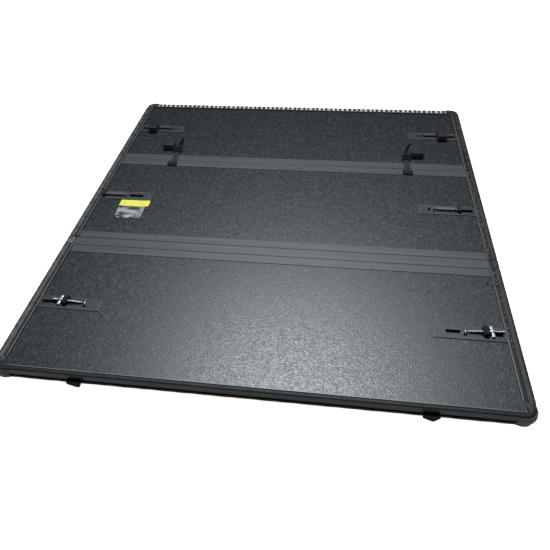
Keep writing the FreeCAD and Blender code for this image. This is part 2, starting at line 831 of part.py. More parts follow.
def front_latch(hand, pivot, jaw):
    """A screw clamp on the front panel; its rod lies a few degrees off the slot."""
    sign, turn = sides[hand]
    at = (sign * pivot, track_y["front"], underside, as_size(turn) + sign * s.rod_turn)
    name = f"front_{hand}_latch"
    slider(f"{name}_slider", (sign * pivot, track_y["front"], underside, turn))
    clamp_rod(f"{name}_rod", at)
    clamp_jaw(f"{name}_jaw", at, jaw)
    wing_nut(f"{name}_wing_nut", at, jaw + s.nut_spacing)


def arm_latch(where, hand, pivot, length, reach, width, height):
    """A flip-over latch on the middle or rear panel."""
    sign, turn = sides[hand]
    at = (sign * pivot, track_y[where], underside, turn)
    name = f"{where}_{hand}_latch"
    slider(f"{name}_slider", at)
    latch_arm(f"{name}_arm", at, length)
    ends = (sign * width[0], sign * width[1])
    hinged_jaw(f"{name}_jaw", at, length, reach, ends, height)


for place_name in track_y:
    for hand in sides:
        latch_track(place_name, hand)
    track_screws(place_name)

front_latch("right", rail_inner - s.front_right_inset, s.front_right_jaw)
front_latch("left", rail_inner - s.front_left_inset, s.front_left_jaw)
jaw_half = s.arm_jaw_width / 2
mid_insets = {"right": s.mid_right_inset, "left": s.mid_left_inset}
for hand in sides:
    arm_latch("mid", hand, rail_inner - mid_insets[hand], s.mid_arm_length, s.arm_jaw_reach,
              (-jaw_half, jaw_half), s.arm_jaw_height)
    arm_latch("rear", hand, rail_inner - s.rear_inset, s.rear_arm_length, s.block_reach,
              (s.block_overhang - s.block_width, s.block_overhang), s.block_height)

# ---------------------------------------------------------------- rest blocks, straps, catches, labels

rest_x = track_start + s.rest_inset
rest = box("rest_block_right", (rest_x - s.rest_length / 2, rest_x + s.rest_length / 2),
           (rear_hinge + s.rest_at - s.rest_width / 2, rear_hinge + s.rest_at + s.rest_width / 2),
           (underside, underside + s.rest_height))
node("rest_blocks", rest, mirror("rest_block_left", rest))

strap_x = track_start - s.strap_inset


def straddle(width):
    """The span of a width about the strap's line."""
    return strap_x - width / 2, strap_x + width / 2


anchor_far = rear_hinge - s.mid_rear_rail + s.anchor_length
buckle_near = rear_hinge + s.buckle_start
buckle_far = buckle_near + s.buckle_length
strap_low = cap_top + s.strap_lift

anchor = box("strap_anchor", straddle(s.anchor_width), (anchor_far - s.anchor_length, anchor_far),
             (cap_top, cap_top + s.anchor_height))
buckle = box("strap_buckle", straddle(s.buckle_width), (buckle_near, buckle_far),
             (strap_low - s.strap_lift / 2, strap_low + s.buckle_height))
node("strap_anchors_and_buckles", anchor, mirror("strap_anchor_left", anchor), buckle,
     mirror("strap_buckle_left", buckle))

run = box("strap_run", straddle(s.strap_width), (anchor_far, buckle_near),
          (strap_low, strap_low + s.strap_thick))
tail_body = new_body("strap_tail")
tail_foot = strap_low + s.strap_thick
tail_far = buckle_far + s.tail_run
tail_top = tail_foot + s.tail_rise
knee_y = buckle_far + s.tail_run / 2
knee_z = tail_foot + s.tail_rise / 4
tail_points = [
    (buckle_far, tail_foot),
    (knee_y, knee_z),
    (tail_far, tail_top),
    (tail_far - 2 * s.strap_thick, tail_top),
    (knee_y - s.strap_thick, knee_z + s.strap_thick),
    (buckle_far, tail_foot + 2 * s.strap_thick),
]
tail_sketch = outline(tail_body, "strap_tail_outline", "YZ_Plane", tail_points)
pad(tail_body, "strap_tail_pad", tail_sketch, s.strap_width)
place(tail_body, x=strap_x - s.strap_width / 2)
node("stow_straps", run, mirror("strap_run_left", run), tail_body, mirror("strap_tail_left", tail_body))


def strap_catches():
    """A wedge with a slot on the front rail at each strap line, for the buckle of the folded cover."""
    body = new_body("strap_catch")
    low = weather + s.bevel_rise
    foot = s.catch_width / 2
    nose = s.catch_width / 6
    points = [
        (strap_x - foot, front_edge),
        (strap_x - nose, front_edge - s.catch_reach),
        (strap_x + nose, front_edge - s.catch_reach),
        (strap_x + foot, front_edge),
    ]
    pad(body, "strap_catch_pad", outline(body, "strap_catch_outline", "XY_Plane", points), s.catch_height)
    slot = rectangle((strap_x - nose, strap_x + nose),
                     (front_edge - s.catch_reach / 2, front_edge - s.catch_reach / 4))
    pocket(body, "strap_catch_pocket", outline(body, "strap_catch_slot", "XY_Plane", slot), s.catch_height,
           backwards=True)
    place(body, z=low)
    node("strap_catches", body, mirror("strap_catch_left", body))


strap_catches()

top_label_y = track_y["mid"] - s.track_width / 2 - s.label_gap - s.top_label_width
low_label_y = top_label_y - s.label_space
label_z = (underside, underside + s.label_thick)
label_x = s.label_inset - track_start
top_label = box("top_label", (label_x - s.top_label_length, label_x),
                (top_label_y, top_label_y + s.top_label_width), label_z)
low_label = box("low_label", (label_x - s.low_label_length - s.label_space, label_x - s.label_space),
                (low_label_y - s.low_label_width, low_label_y), label_z)
node("care_labels", top_label, low_label)

# ---------------------------------------------------------------- check and write

doc.recompute()
broken = [item.Label for item in doc.Objects if {"Invalid", "Error"} & set(item.State)]
broken += [item.Label for item in nodes if item.Shape.isNull() or not item.Shape.isValid()]
if broken:
    raise RuntimeError("these did not build: " + ", ".join(broken))

os.makedirs("parts", exist_ok=True)
for item in nodes:
    item.Shape.exportStep(f"parts/{item.Label}.step")
    print(item.Label, len(item.Shape.Solids), round(item.Shape.Volume / 1000, 1), "cm3")
print(len(nodes), "nodes")
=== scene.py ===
import json
from math import pi, radians

import bmesh
import bpy
import numpy as np
from mathutils import Matrix, Vector


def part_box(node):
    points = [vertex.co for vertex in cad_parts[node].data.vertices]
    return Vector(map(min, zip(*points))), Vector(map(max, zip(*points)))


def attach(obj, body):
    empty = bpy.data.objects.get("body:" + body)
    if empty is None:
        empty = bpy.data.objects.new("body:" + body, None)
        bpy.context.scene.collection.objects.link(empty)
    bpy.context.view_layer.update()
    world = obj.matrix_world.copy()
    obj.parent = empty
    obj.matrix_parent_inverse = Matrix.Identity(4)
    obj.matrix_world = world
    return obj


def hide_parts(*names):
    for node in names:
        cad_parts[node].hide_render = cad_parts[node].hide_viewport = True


# a folding cover for a pickup bed, underside up: the CAD panels and rails, with detailed seals, clamps,
# blocks, screws, straps and labels in place of the plain ones
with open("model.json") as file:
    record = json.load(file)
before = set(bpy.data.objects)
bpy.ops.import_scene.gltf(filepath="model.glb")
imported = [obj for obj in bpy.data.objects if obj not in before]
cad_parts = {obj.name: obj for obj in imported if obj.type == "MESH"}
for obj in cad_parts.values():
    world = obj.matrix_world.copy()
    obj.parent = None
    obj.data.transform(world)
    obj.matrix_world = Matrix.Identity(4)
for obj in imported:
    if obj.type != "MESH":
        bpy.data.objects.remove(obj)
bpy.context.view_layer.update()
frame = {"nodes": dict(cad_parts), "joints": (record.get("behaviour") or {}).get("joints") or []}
nodes = frame["nodes"]
joints = {joint["name"]: joint for joint in frame["joints"]}
mm = 0.001
print("frame loaded:", len(nodes), "nodes")


# surfaces from grids

def loft(rings):
    # rings is stations x points x 3: quads run from ring to ring and right round each ring, and one
    # many-sided face closes each end
    stations, around = rings.shape[:2]
    index = np.arange(stations * around).reshape(stations, around)
    beside = np.roll(index, -1, axis=1)
    faces = np.stack([index[:-1], beside[:-1], beside[1:], index[1:]], axis=-1).reshape(-1, 4).tolist()
    return rings.reshape(-1, 3), faces + [index[0, ::-1].tolist(), index[-1].tolist()]


def ringLoft(rings):
    # the same with the last ring joined back to the first, so the surface closes on itself
    count, around = rings.shape[:2]
    index = np.arange(count * around).reshape(count, around)
    beside, after = np.roll(index, -1, axis=1), np.roll(index, -1, axis=0)
    faces = np.stack([index, beside, np.roll(after, -1, axis=1), after], axis=-1).reshape(-1, 4)
    return rings.reshape(-1, 3), faces.tolist()


def superCircle(count, power):
    # points of |x|^power + |y|^power = 1, evenly spread by angle
    angle = np.linspace(0, 2 * pi, count, endpoint=False)
    x, y = np.cos(angle), np.sin(angle)
    reach = (np.abs(x) ** power + np.abs(y) ** power) ** (-1 / power)
    return np.stack([x * reach, y * reach], axis=-1)


blockShape = dict(outlinePower=9, roundSteps=4, lidRings=(0.75, 0.4))


def softBlock(low, high, radius, around=40, crown=0.0):
    # a block between two corners with its edges rounded by radius: the outline is a super circle, rings
    # step in by a quarter circle at the bottom and the top, and crown lifts the middle of the top
    low, high = np.array(low, float), np.array(high, float)
    centre, half = (low + high) / 2, (high - low) / 2
    turn = np.linspace(0, pi / 2, blockShape["roundSteps"])
    inset = np.concatenate([radius * (1 - np.sin(turn)), radius * (1 - np.cos(turn))])
    z = np.concatenate([low[2] + radius * (1 - np.cos(turn)), high[2] - radius * (1 - np.sin(turn))])
    outline = superCircle(around, blockShape["outlinePower"])
    shell = np.zeros((len(z), around, 3))
    shell[..., :2] = centre[:2] + outline[None] * (half[None, :2] - inset[:, None])[:, None]
    shell[..., 2] = z[:, None]
    share = np.array(blockShape["lidRings"])[:, None, None]
    lid = np.repeat(shell[-1:], len(share), axis=0)
    lid[..., :2] = centre[:2] + (lid[..., :2] - centre[:2]) * share
    lid[..., 2] += crown * (1 - share[..., 0] ** 2)
    return loft(np.concatenate([shell, lid]))


def frameAt(origin, along, up=(0, 0, 1)):
    # a point with three axes: along, across and up
    along, up = np.array(along, float), np.array(up, float)
    return np.array(origin, float), np.stack([along, np.cross(up, along), up])


def toPlace(surface, spot):
    # a surface worked out in mm about its own origin, turned to the spot's axes and moved to its point
    points, faces = surface
    origin, axes = spot
    return (points * mm) @ axes + origin, faces


def unitAlong(path):
    # the direction of a path at each of its points, one unit long
    tangent = np.gradient(path, axis=0)
    return tangent / np.linalg.norm(tangent, axis=1)[:, None]


def addPiece(name, shells, finish, body, stands=(), smooth=40):
    # joins shells into one mesh, its normals outward and its creases kept sharp, and rides it on a body
    points, faces, start = [], [], 0
    for shellPoints, shellFaces in shells:
        points.append(shellPoints)
        faces += [[start + corner for corner in face] for face in shellFaces]
        start += len(shellPoints)
    mesh = bpy.data.meshes.new(name)
    mesh.from_pydata(np.concatenate(points).tolist(), [], faces)
    work = bmesh.new()
    work.from_mesh(mesh)
    bmesh.ops.recalc_face_normals(work, faces=work.faces)
    work.to_mesh(mesh)
    work.free()
    mesh.shade_smooth()
    mesh.set_sharp_from_angle(angle=radians(smooth))
    mesh.materials.append(finish)
    piece = bpy.data.objects.new(name, mesh)
    bpy.context.scene.collection.objects.link(piece)
    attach(piece, body)
    if stands:
        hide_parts(*stands)
    return piece


# finishes

def addNode(tree, kind, inputs=(), **settings):
    # one shader node: settings are its own values, and each input is a value or a link
    node = tree.nodes.new(kind)
    for key, value in settings.items():
        setattr(node, key, value)
    for socket, value in dict(inputs).items():
        if isinstance(value, bpy.types.NodeSocket):
            tree.links.new(value, node.inputs[socket])
        else:
            node.inputs[socket].default_value = value
    return node


def newFinish(name, **constants):
    # a material whose fixed values are set on the shader's own sockets
    material = bpy.data.materials.new(name)
    material.use_nodes = True
    tree = material.node_tree
    shader = tree.nodes["Principled BSDF"]
    for socket, value in constants.items():
        shader.inputs[socket.replace("_", " ")].default_value = value
    return material, tree, shader


def place3d(tree, stretch=(1, 1, 1), source="Object"):
    # the place on the piece, in metres unless it is stretched
    coordinates = addNode(tree, "ShaderNodeTexCoord").outputs[source]
    return addNode(tree, "ShaderNodeMapping", {"Vector": coordinates, "Scale": stretch}).outputs[0]


def axisOf(tree, vector):
    # X, Y and Z as separate numbers
    return addNode(tree, "ShaderNodeSeparateXYZ", {"Vector": vector}).outputs


def noise(tree, vector, scale, detail=3.0, rough=0.55):
    # cloudy noise, scale lumps to the metre
    inputs = {"Vector": vector, "Scale": scale, "Detail": detail, "Roughness": rough}
    return addNode(tree, "ShaderNodeTexNoise", inputs).outputs["Fac"]


def cells(tree, vector, scale, feature="F1"):
    # a net of cells, scale cells to the metre: each has a Distance from its middle and a chance Color
    inputs = {"Vector": vector, "Scale": scale}
    return addNode(tree, "ShaderNodeTexVoronoi", inputs, feature=feature).outputs


def chances(tree, net):
    # three chance numbers for each cell of a net
    return addNode(tree, "ShaderNodeSeparateColor", {"Color": net["Color"]}).outputs


def ramp(tree, factor, low, high, start=0.35, end=0.65):
    # blends between two colours over a stretch of the factor
    node = addNode(tree, "ShaderNodeValToRGB", {"Fac": factor})
    for element, place, tone in zip(node.color_ramp.elements, (start, end), (low, high)):
        element.position, element.color = place, (*tone, 1)
    return node.outputs["Color"]


def spread(tree, factor, low, high, start=0.3, end=0.7):
    # low up to the start of the factor's stretch, high past its end, and evenly between
    inputs = {"Value": factor, "From Min": start, "From Max": end, "To Min": low, "To Max": high}
    return addNode(tree, "ShaderNodeMapRange", inputs).outputs["Result"]


def mix(tree, factor, first, second):
    # the first colour where the factor is 0, the second where it is 1
    inputs = {0: factor, 6: first, 7: second}
    return addNode(tree, "ShaderNodeMix", inputs, data_type="RGBA").outputs[2]


def paint(tree, shader, tone, rough, *layers):
    # links colour and roughness, and stacks height layers, each (height, strength, distance in metres)
    tree.links.new(tone, shader.inputs["Base Color"])
    tree.links.new(rough, shader.inputs["Roughness"])
    normal = None
    for height, strength, distance in layers:
        inputs = {"Height": height, "Strength": strength, "Distance": distance}
        if normal is not None:
            inputs["Normal"] = normal
        normal = addNode(tree, "ShaderNodeBump", inputs).outputs["Normal"]
    tree.links.new(normal, shader.inputs["Normal"])


# shine is the colour of the painted glints on the skin's wider flecks
skinLook = dict(pebble=300.0, fleck=150.0, dark=(0.0038, 0.0044, 0.0053), pale=(0.0088, 0.0102, 0.0122),
                haze=(0.0058, 0.0066, 0.0078), shine=(0.024, 0.027, 0.029), glossy=0.34, relief=0.0011)


def embossedSkin():
    # charcoal sheet pressed with small pebbles, each with its own tone and gloss; a few wider flecks get a
    # paler base colour as painted glints, and a few are glossier
    material, tree, shader = newFinish("embossedSkin", Specular_IOR_Level=0.62)
    place, look = place3d(tree), skinLook
    pebbles = cells(tree, place, look["pebble"], "SMOOTH_F1")
    chance = chances(tree, cells(tree, place, look["pebble"]))
    rare = chances(tree, cells(tree, place, look["fleck"]))
    cloud = noise(tree, place, 5.0)
    base = ramp(tree, chance[0], look["dark"], look["pale"], 0.0, 1.0)
    base = mix(tree, spread(tree, cloud, 0.0, 0.4), base, (*look["haze"], 1))
    # painted glints: the wider flecks' paler base colour stands in for sparkle of light on the grain
    tone = mix(tree, spread(tree, rare[1], 0.0, 0.8, 0.80, 0.95), base, (*look["shine"], 1))
    rough = mix(tree, spread(tree, rare[0], 0.0, 0.7, 0.70, 1.0),
                spread(tree, chance[1], 0.38, 0.58, 0.0, 1.0), (*[look["glossy"]] * 3, 1))
    paint(tree, shader, tone, rough, (pebbles["Distance"], 0.40, look["relief"]))
    return material


railLip = 0.0392  # height of the rails' inner lip in metres; the wall under it gets painted shade


def satinAluminium(name, along, low, high, roughness, shadeBelow=None):
    # powder-coated extrusion with faint die lines that run along it; if shadeBelow gives a tone, painted
    # shade darkens it under the rails' lip
    material, tree, shader = newFinish(name, Specular_IOR_Level=0.5)
    stretch = (1.4, 170.0, 60.0) if along == "x" else (170.0, 1.4, 60.0)
    lines = noise(tree, place3d(tree, stretch), 1.0)
    wear = noise(tree, place3d(tree), 9.0, 4.0)
    coat = noise(tree, place3d(tree), 900.0, 2.0)
    tone = mix(tree, spread(tree, lines, 0.0, 1.0, 0.35, 0.65), (*low, 1), (*high, 1))
    tone = mix(tree, spread(tree, wear, 0.0, 0.3), tone, (*(0.8 * channel for channel in low), 1))
    if shadeBelow:
        height = axisOf(tree, place3d(tree))["Z"]
        tone = mix(tree, spread(tree, height, 1.0, 0.0, railLip - 0.0012, railLip), tone, (*shadeBelow, 1))
    paint(tree, shader, tone, spread(tree, wear, roughness - 0.05, roughness + 0.07),
          (lines, 0.25, 0.00025), (coat, 0.2, 0.0002))
    return material


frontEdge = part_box("front_rail")[0].y
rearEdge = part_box("rear_rail")[1].y
sideTones = dict(left=(0.066, 0.064, 0.062), right=(0.024, 0.023, 0.021), start=0.015, end=0.040)


def sealRubber(name, clean, dusty, shine, sideToned=False):
    # matt extruded rubber, greyed by dust on its high spots. Side-toned rubber takes a paler tone on each
    # side, paler on the left than on the right, blended across the cover, that takes over a little behind the
    # front edge
    material, tree, shader = newFinish(name, Specular_IOR_Level=shine)
    place, look = place3d(tree), sideTones
    dust = noise(tree, place, 46.0, 4.0)
    grain = noise(tree, place, 480.0)
    tone = ramp(tree, dust, clean, dusty, 0.38, 0.72)
    if sideToned:
        axis = axisOf(tree, place)
        sides = [ramp(tree, dust, tuple(0.3 * channel for channel in look[hand]), look[hand], 0.38, 0.72)
                 for hand in ("left", "right")]
        across = mix(tree, spread(tree, axis["X"], 0.0, 1.0, -0.7, 0.7), *sides)
        behind = spread(tree, axis["Y"], 0.0, 1.0, frontEdge + look["start"], frontEdge + look["end"])
        tone = mix(tree, behind, tone, across)
    paint(tree, shader, tone, spread(tree, dust, 0.5, 0.75), (grain, 0.5, 0.0006), (dust, 0.3, 0.001))
    return material


def mouldedPlastic(name, tone, rough, shine=0.4):
    # black plastic with a fine moulded grain and soft handling marks
    material, tree, shader = newFinish(name, Specular_IOR_Level=shine)
    place = place3d(tree)
    grain = noise(tree, place, 1100.0, 2.0)
    rubbed = noise(tree, place, 24.0, 4.0)
    paint(tree, shader, ramp(tree, rubbed, tone, tuple(1.8 * channel for channel in tone)),
          spread(tree, rubbed, rough, rough + 0.15), (grain, 0.35, 0.0003))
    return material


def platedSteel(name, tone, rough, metallic=1.0):
    # zinc plate with fine spangle and dull patches
    material, tree, shader = newFinish(name, Metallic=metallic)
    place = place3d(tree)
    spangle = cells(tree, place, 420.0)["Distance"]
    dull = noise(tree, place, 90.0, 4.0)
    paint(tree, shader, ramp(tree, dull, tone, tuple(0.6 * channel for channel in tone), 0.45, 0.75),
          spread(tree, dull, rough, rough + 0.22), (spangle, 0.12, 0.0004), (dull, 0.15, 0.0004))
    return material


def foamCore():
    # pale rigid foam with open cells, darker between them
    material, tree, shader = newFinish("foamCore", Specular_IOR_Level=0.2)
    depth = cells(tree, place3d(tree), 520.0)["Distance"]
    paint(tree, shader, ramp(tree, depth, (0.62, 0.58, 0.47), (0.34, 0.31, 0.24), 0.1, 0.7),
          spread(tree, depth, 0.8, 0.95), (depth, 0.6, 0.001))
    return material


def softFoam(name, low, high):
    # closed-cell black foam, its skin pitted with tiny cells
    material, tree, shader = newFinish(name, Specular_IOR_Level=0.25)
    place = place3d(tree)
    pits = cells(tree, place, 760.0)["Distance"]
    dust = noise(tree, place, 60.0)
    paint(tree, shader, ramp(tree, dust, low, high), spread(tree, dust, 0.75, 0.95), (pits, 0.7, 0.0006))
    return material


def webbing(name, low, high):
    # woven tape: the product of ribs across U and finer weft bands along V, both a little wavy
    material, tree, shader = newFinish(name, Specular_IOR_Level=0.3, Sheen_Weight=0.04, Sheen_Roughness=0.5)
    place = place3d(tree, source="UV")
    bands = [addNode(tree, "ShaderNodeTexWave", {"Vector": place, "Scale": scale, "Distortion": wobble},
                     bands_direction=direction).outputs["Fac"]
             for scale, wobble, direction in ((3.2, 0.2, "X"), (9.0, 0.3, "Y"))]
    weave = addNode(tree, "ShaderNodeMath", dict(enumerate(bands)), operation="MULTIPLY").outputs[0]
    paint(tree, shader, ramp(tree, weave, low, high, 0.1, 0.9), spread(tree, weave, 0.9, 0.65),
          (weave, 0.8, 0.0006))
    return material


def labelPaper(name, tone, stained, cover, stretch):
    # printed film with rubbed and stained patches, fewer of them as cover rises
    material, tree, shader = newFinish(name, Specular_IOR_Level=0.45)
    place = place3d(tree, stretch)
    patch = noise(tree, place, 34.0, 5.0, 0.65)
    fibre = noise(tree, place, 700.0)
    paint(tree, shader, ramp(tree, patch, tone, stained, cover - 0.03, cover + 0.04),
          spread(tree, patch, 0.35, 0.6), (fibre, 0.3, 0.0002), (patch, 0.25, 0.0008))
    return material


def adhesiveTape(name, clean, dirty):
    # foam tape and set adhesive, dirty in patches
    material, tree, shader = newFinish(name, Specular_IOR_Level=0.4)
    dirt = noise(tree, place3d(tree), 55.0, 4.0)
    paint(tree, shader, ramp(tree, dirt, clean, dirty, 0.50, 0.74), spread(tree, dirt, 0.45, 0.8),
          (dirt, 0.4, 0.0008))
    return material


panelSkin = embossedSkin()
bandMetal = satinAluminium("bandMetal", "x", (0.026, 0.0272, 0.029), (0.046, 0.048, 0.051), 0.50)
# for railMetal and endRailMetal the last tone is painted shade on the wall under the lip
railMetal = satinAluminium("railMetal", "y", (0.058, 0.057, 0.055), (0.094, 0.092, 0.088), 0.45,
                           (0.003, 0.003, 0.003))
endRailMetal = satinAluminium("endRailMetal", "x", (0.055, 0.056, 0.058), (0.085, 0.086, 0.088), 0.42,
                              (0.022, 0.0215, 0.020))
trackPaint = satinAluminium("trackPaint", "x", (0.015, 0.0155, 0.0165), (0.024, 0.025, 0.027), 0.50)
# painted highlight: the rims are lighter than the track paint, standing in for light on the plates' edges
rimHighlightPaint = satinAluminium("rimHighlightPaint", "x", (0.050, 0.052, 0.056), (0.070, 0.073, 0.078), 0.42)
edgeRubber = sealRubber("edgeRubber", (0.007, 0.0075, 0.0085), (0.012, 0.013, 0.0155), 0.25, True)
noseRubber = sealRubber("noseRubber", (0.007, 0.0075, 0.0085), (0.012, 0.013, 0.0155), 0.25)
# painted shade: this black rubber makes the dark lip and the gap strips that stand in for shadow
shadowRubber = sealRubber("shadowRubber", (0.006, 0.006, 0.006), (0.010, 0.009, 0.008), 0.35)
bootPlastic = mouldedPlastic("bootPlastic", (0.055, 0.054, 0.054), 0.34)
capPlastic = mouldedPlastic("capPlastic", (0.022, 0.022, 0.022), 0.42)
darkPlastic = mouldedPlastic("darkPlastic", (0.0035, 0.0035, 0.0035), 0.6, 0.16)
blockPlastic = mouldedPlastic("blockPlastic", (0.006, 0.006, 0.006), 0.55, 0.3)
brightZinc = platedSteel("brightZinc", (0.36, 0.368, 0.39), 0.44)
greyZinc = platedSteel("greyZinc", (0.13, 0.132, 0.138), 0.42, 0.8)
blackSteel = platedSteel("blackSteel", (0.085, 0.085, 0.09), 0.42, 0.7)
coreFoam = foamCore()
blackFoam = softFoam("blackFoam", (0.0068, 0.0068, 0.0068), (0.0165, 0.0165, 0.0165))
jawFoam = softFoam("jawFoam", (0.0035, 0.0036, 0.0040), (0.0085, 0.0087, 0.0092))
strapWeave = webbing("strapWeave", (0.007, 0.0072, 0.0078), (0.021, 0.0215, 0.023))
# painted shade: the tails are the same webbing as the straps, made much darker to stand in for shade on them
shadedTailWeave = webbing("shadedTailWeave", (0.0015, 0.0015, 0.0016), (0.004, 0.004, 0.0043))
yellowLabel = labelPaper("yellowLabel", (0.47, 0.43, 0.060), (0.25, 0.22, 0.06), 0.62, (1, 2.5, 1))
greyLabel = labelPaper("greyLabel", (0.215, 0.21, 0.215), (0.020, 0.021, 0.021), 0.50, (0.45, 1.7, 1))
paleTape = adhesiveTape("adhesiveTape", (0.34, 0.33, 0.295), (0.07, 0.07, 0.066))
dullTape = adhesiveTape("dullTape", (0.085, 0.082, 0.072), (0.030, 0.030, 0.028))
print("finishes made")


# CAD nodes that stay, with eased edges

edgeWidths = dict(rail=0.6, band=1.0, plastic=0.8, latch=0.35)


def finishNode(name, finish, width=0):
    # a CAD node's material, and an eased edge of this width in mm that leaves its mesh unchanged
    node = nodes[name]
    node.data.materials.clear()
    node.data.materials.append(finish)
    if width:
        node.modifiers.new("joinSeams", "WELD").merge_threshold = 0.00002
        edge = node.modifiers.new("easeEdges", "BEVEL")
        edge.width, edge.segments = width * mm, 2
        edge.limit_method, edge.angle_limit = "ANGLE", radians(50)
        edge.use_clamp_overlap = True


for panel in ("front", "mid", "rear"):
    finishNode(f"{panel}_panel_skins", panelSkin)
    finishNode(f"{panel}_panel_core", coreFoam)
    finishNode(f"{panel}_side_rails", railMetal, edgeWidths["rail"])
    for hand in ("right", "left"):
        finishNode(f"{panel}_{hand}_latch_track", trackPaint, edgeWidths["latch"])
        finishNode(f"{panel}_{hand}_latch_slider", blackSteel, edgeWidths["latch"])
for name in ("front_rail", "rear_rail"):
    finishNode(name, endRailMetal, edgeWidths["rail"])
for name in ("front_hinge_rail", "mid_front_hinge_rail", "mid_rear_hinge_rail", "rear_hinge_rail",
             "spacer_bar"):
    finishNode(name, bandMetal, edgeWidths["band"])
for name in ("front_corner_caps", "rear_corner_caps"):
    finishNode(name, capPlastic, edgeWidths["plastic"])
finishNode("spacer_end_caps", darkPlastic, edgeWidths["plastic"])
for name in ("front_hinge_pin", "spacer_hinge_pin", "rear_hinge_pin"):
    finishNode(name, greyZinc)
for hand in ("right", "left"):
    finishNode(f"mid_{hand}_latch_arm", greyZinc, edgeWidths["latch"])
    finishNode(f"rear_{hand}_latch_arm", blackSteel, edgeWidths["latch"])
    finishNode(f"mid_{hand}_latch_jaw", blockPlastic, edgeWidths["plastic"])
print("CAD nodes finished")


# rubber seals, sizes in mm

sealSizes = dict(outer=3.0, inner=25.0, noseInner=12.0, corner=27.0, cornerReach=38.0, crown=7.4,
                 overhang=2.2, sideWidth=16.0, foot=1.1, noseGap=12.0, farTail=20.0)
beadSizes = dict(size=2.7, place=18.0, pitch=21.5, spacerPitch=12.0, end=6.0, frontStart=170.0)
farSizes = dict(pitch=21.5, lobe=11.0, drift=2.0, tape=3.4, seat=2.0, end=50.0)
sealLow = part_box("mid_panel_seals")[0].z
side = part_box("front_panel_seal")[1].x + sealSizes["outer"] * mm


def strip(start, end, across, low, high, width):
    # a flat bar between two points, width across
    corners = [(-width / 2, low), (width / 2, low), (width / 2, high), (-width / 2, high)]
    rings = [[np.array(point) + np.array(across) * a + np.array([0, 0, h]) for a, h in corners]
             for point in (start, end)]
    return loft(np.array(rings))


def sideSeal(name, body, sign, start, end, stands, seed):
    # hand-pressed rubber along a side rail: a rolled outer edge that overhangs the rail, then a hollow, on
    # a thin foot. The roll's height and reach follow three seeded sine waves
    chance = np.random.default_rng(seed)
    y = np.linspace(start, end, int((end - start) / (3 * mm)))
    waves = sum(chance.uniform(0.3, 1) * np.sin(2 * pi * y / (length * mm) + chance.uniform(0, 6))
                for length in (7, 13, 21.5)) / 3
    high = sealSizes["crown"] * (0.93 + 0.07 * waves)
    over, wide = sealSizes["overhang"] * (1 + 0.3 * waves), sealSizes["sideWidth"]
    section = [(3, 0), (3, 2.9), (0.4, 3.1), (-over, 4.2), (-over, high - 1.8), (1.2, high - 0.3), (4, high),
               (7, high - 0.5), (wide - 1.5, high - 2), (wide, 2.2), (wide, 0)]
    rings = np.zeros((len(y), len(section), 3))
    rings[..., 1] = y[:, None]
    for index, (inset, height) in enumerate(section):
        rings[:, index, 0] = sign * (side - inset * mm)
        rings[:, index, 2] = sealLow + height * mm
    addPiece(name, [loft(rings)], edgeRubber, body, stands, 50)
    inner = sealSizes["inner"]
    middle = sign * (side - (wide + inner) / 2 * mm)
    foot = strip((middle, start, sealLow), (middle, end, sealLow), (1, 0, 0), 0, sealSizes["foot"] * mm,
                 (inner - wide) * mm)
    addPiece(f"{name}_foot", [foot], noseRubber, body)


def sideBeads(name, body, sign, start, end, pitch, finish, seed):
    # small beads of set adhesive beside the roll, one to each pitch, seeded in size and place
    chance = np.random.default_rng(seed)
    shells = []
    for y in np.arange(start, end, pitch * mm):
        size = beadSizes["size"] * (0.6 + 0.6 * chance.random()) * mm
        middle = np.array([sign * (side - (beadSizes["place"] + chance.uniform(-1, 1)) * mm),
                           y + 0.3 * pitch * mm * chance.uniform(-1, 1), sealLow + sealSizes["foot"] * mm])
        half = np.array([size * 0.6, size * (1 + chance.random()), 0.0])
        shells.append(softBlock(middle - half, middle + half + (0, 0, size * 0.7), size * 0.3, 12))
    addPiece(name, shells, finish, body)


def farSeal():
    # the far edge: a pale backing strip with a dark lobe at each pitch, 7 rings of 8 points each, drawn in
    # at both ends by a fifth-power law, and seeded a little in place and size
    size = farSizes
    chance = np.random.default_rng(31)
    outer, inner = sealSizes["outer"], sealSizes["inner"]
    wide, y = inner - outer, rearEdge - (outer + inner) / 2 * mm
    right = side - size["end"] * mm
    backing = strip((-right, y, sealLow), (right, y, sealLow), (0, 1, 0), 0, size["tape"] * mm, wide * mm)
    addPiece("rear_far_strip", [backing], paleTape, "rear_panel")
    count = int(round(2 * right / (size["pitch"] * mm)))
    t = np.array([-1, -0.93, -0.7, 0, 0.7, 0.93, 1.0])
    swell = np.sqrt(np.maximum(1 - np.abs(t) ** 5, 0.05))
    section = np.array([(-0.5, 0), (0.5, 0), (0.5, 0.55), (0.36, 0.88), (0.12, 1), (-0.12, 1), (-0.36, 0.88),
                        (-0.5, 0.55)])
    shells = []
    for place in np.linspace(-right, right, count, endpoint=False) + size["pitch"] / 2 * mm:
        place += size["drift"] * mm * chance.uniform(-1, 1)
        half = size["lobe"] * mm / 2 * (1 + 0.2 * chance.uniform(-1, 1))
        high = (sealSizes["crown"] - size["seat"]) * mm * (1 - 0.1 * chance.random())
        rings = np.zeros((len(t), len(section), 3))
        rings[..., 0] = (place + t * half)[:, None]
        rings[..., 1] = y + section[:, 0] * (wide + 1.0) * mm * (0.62 + 0.38 * swell[:, None])
        rings[..., 2] = sealLow + size["seat"] * mm + section[:, 1] * high * swell[:, None]
        shells.append(loft(rings))
    addPiece("rear_far_lobes", shells, noseRubber, "rear_panel")


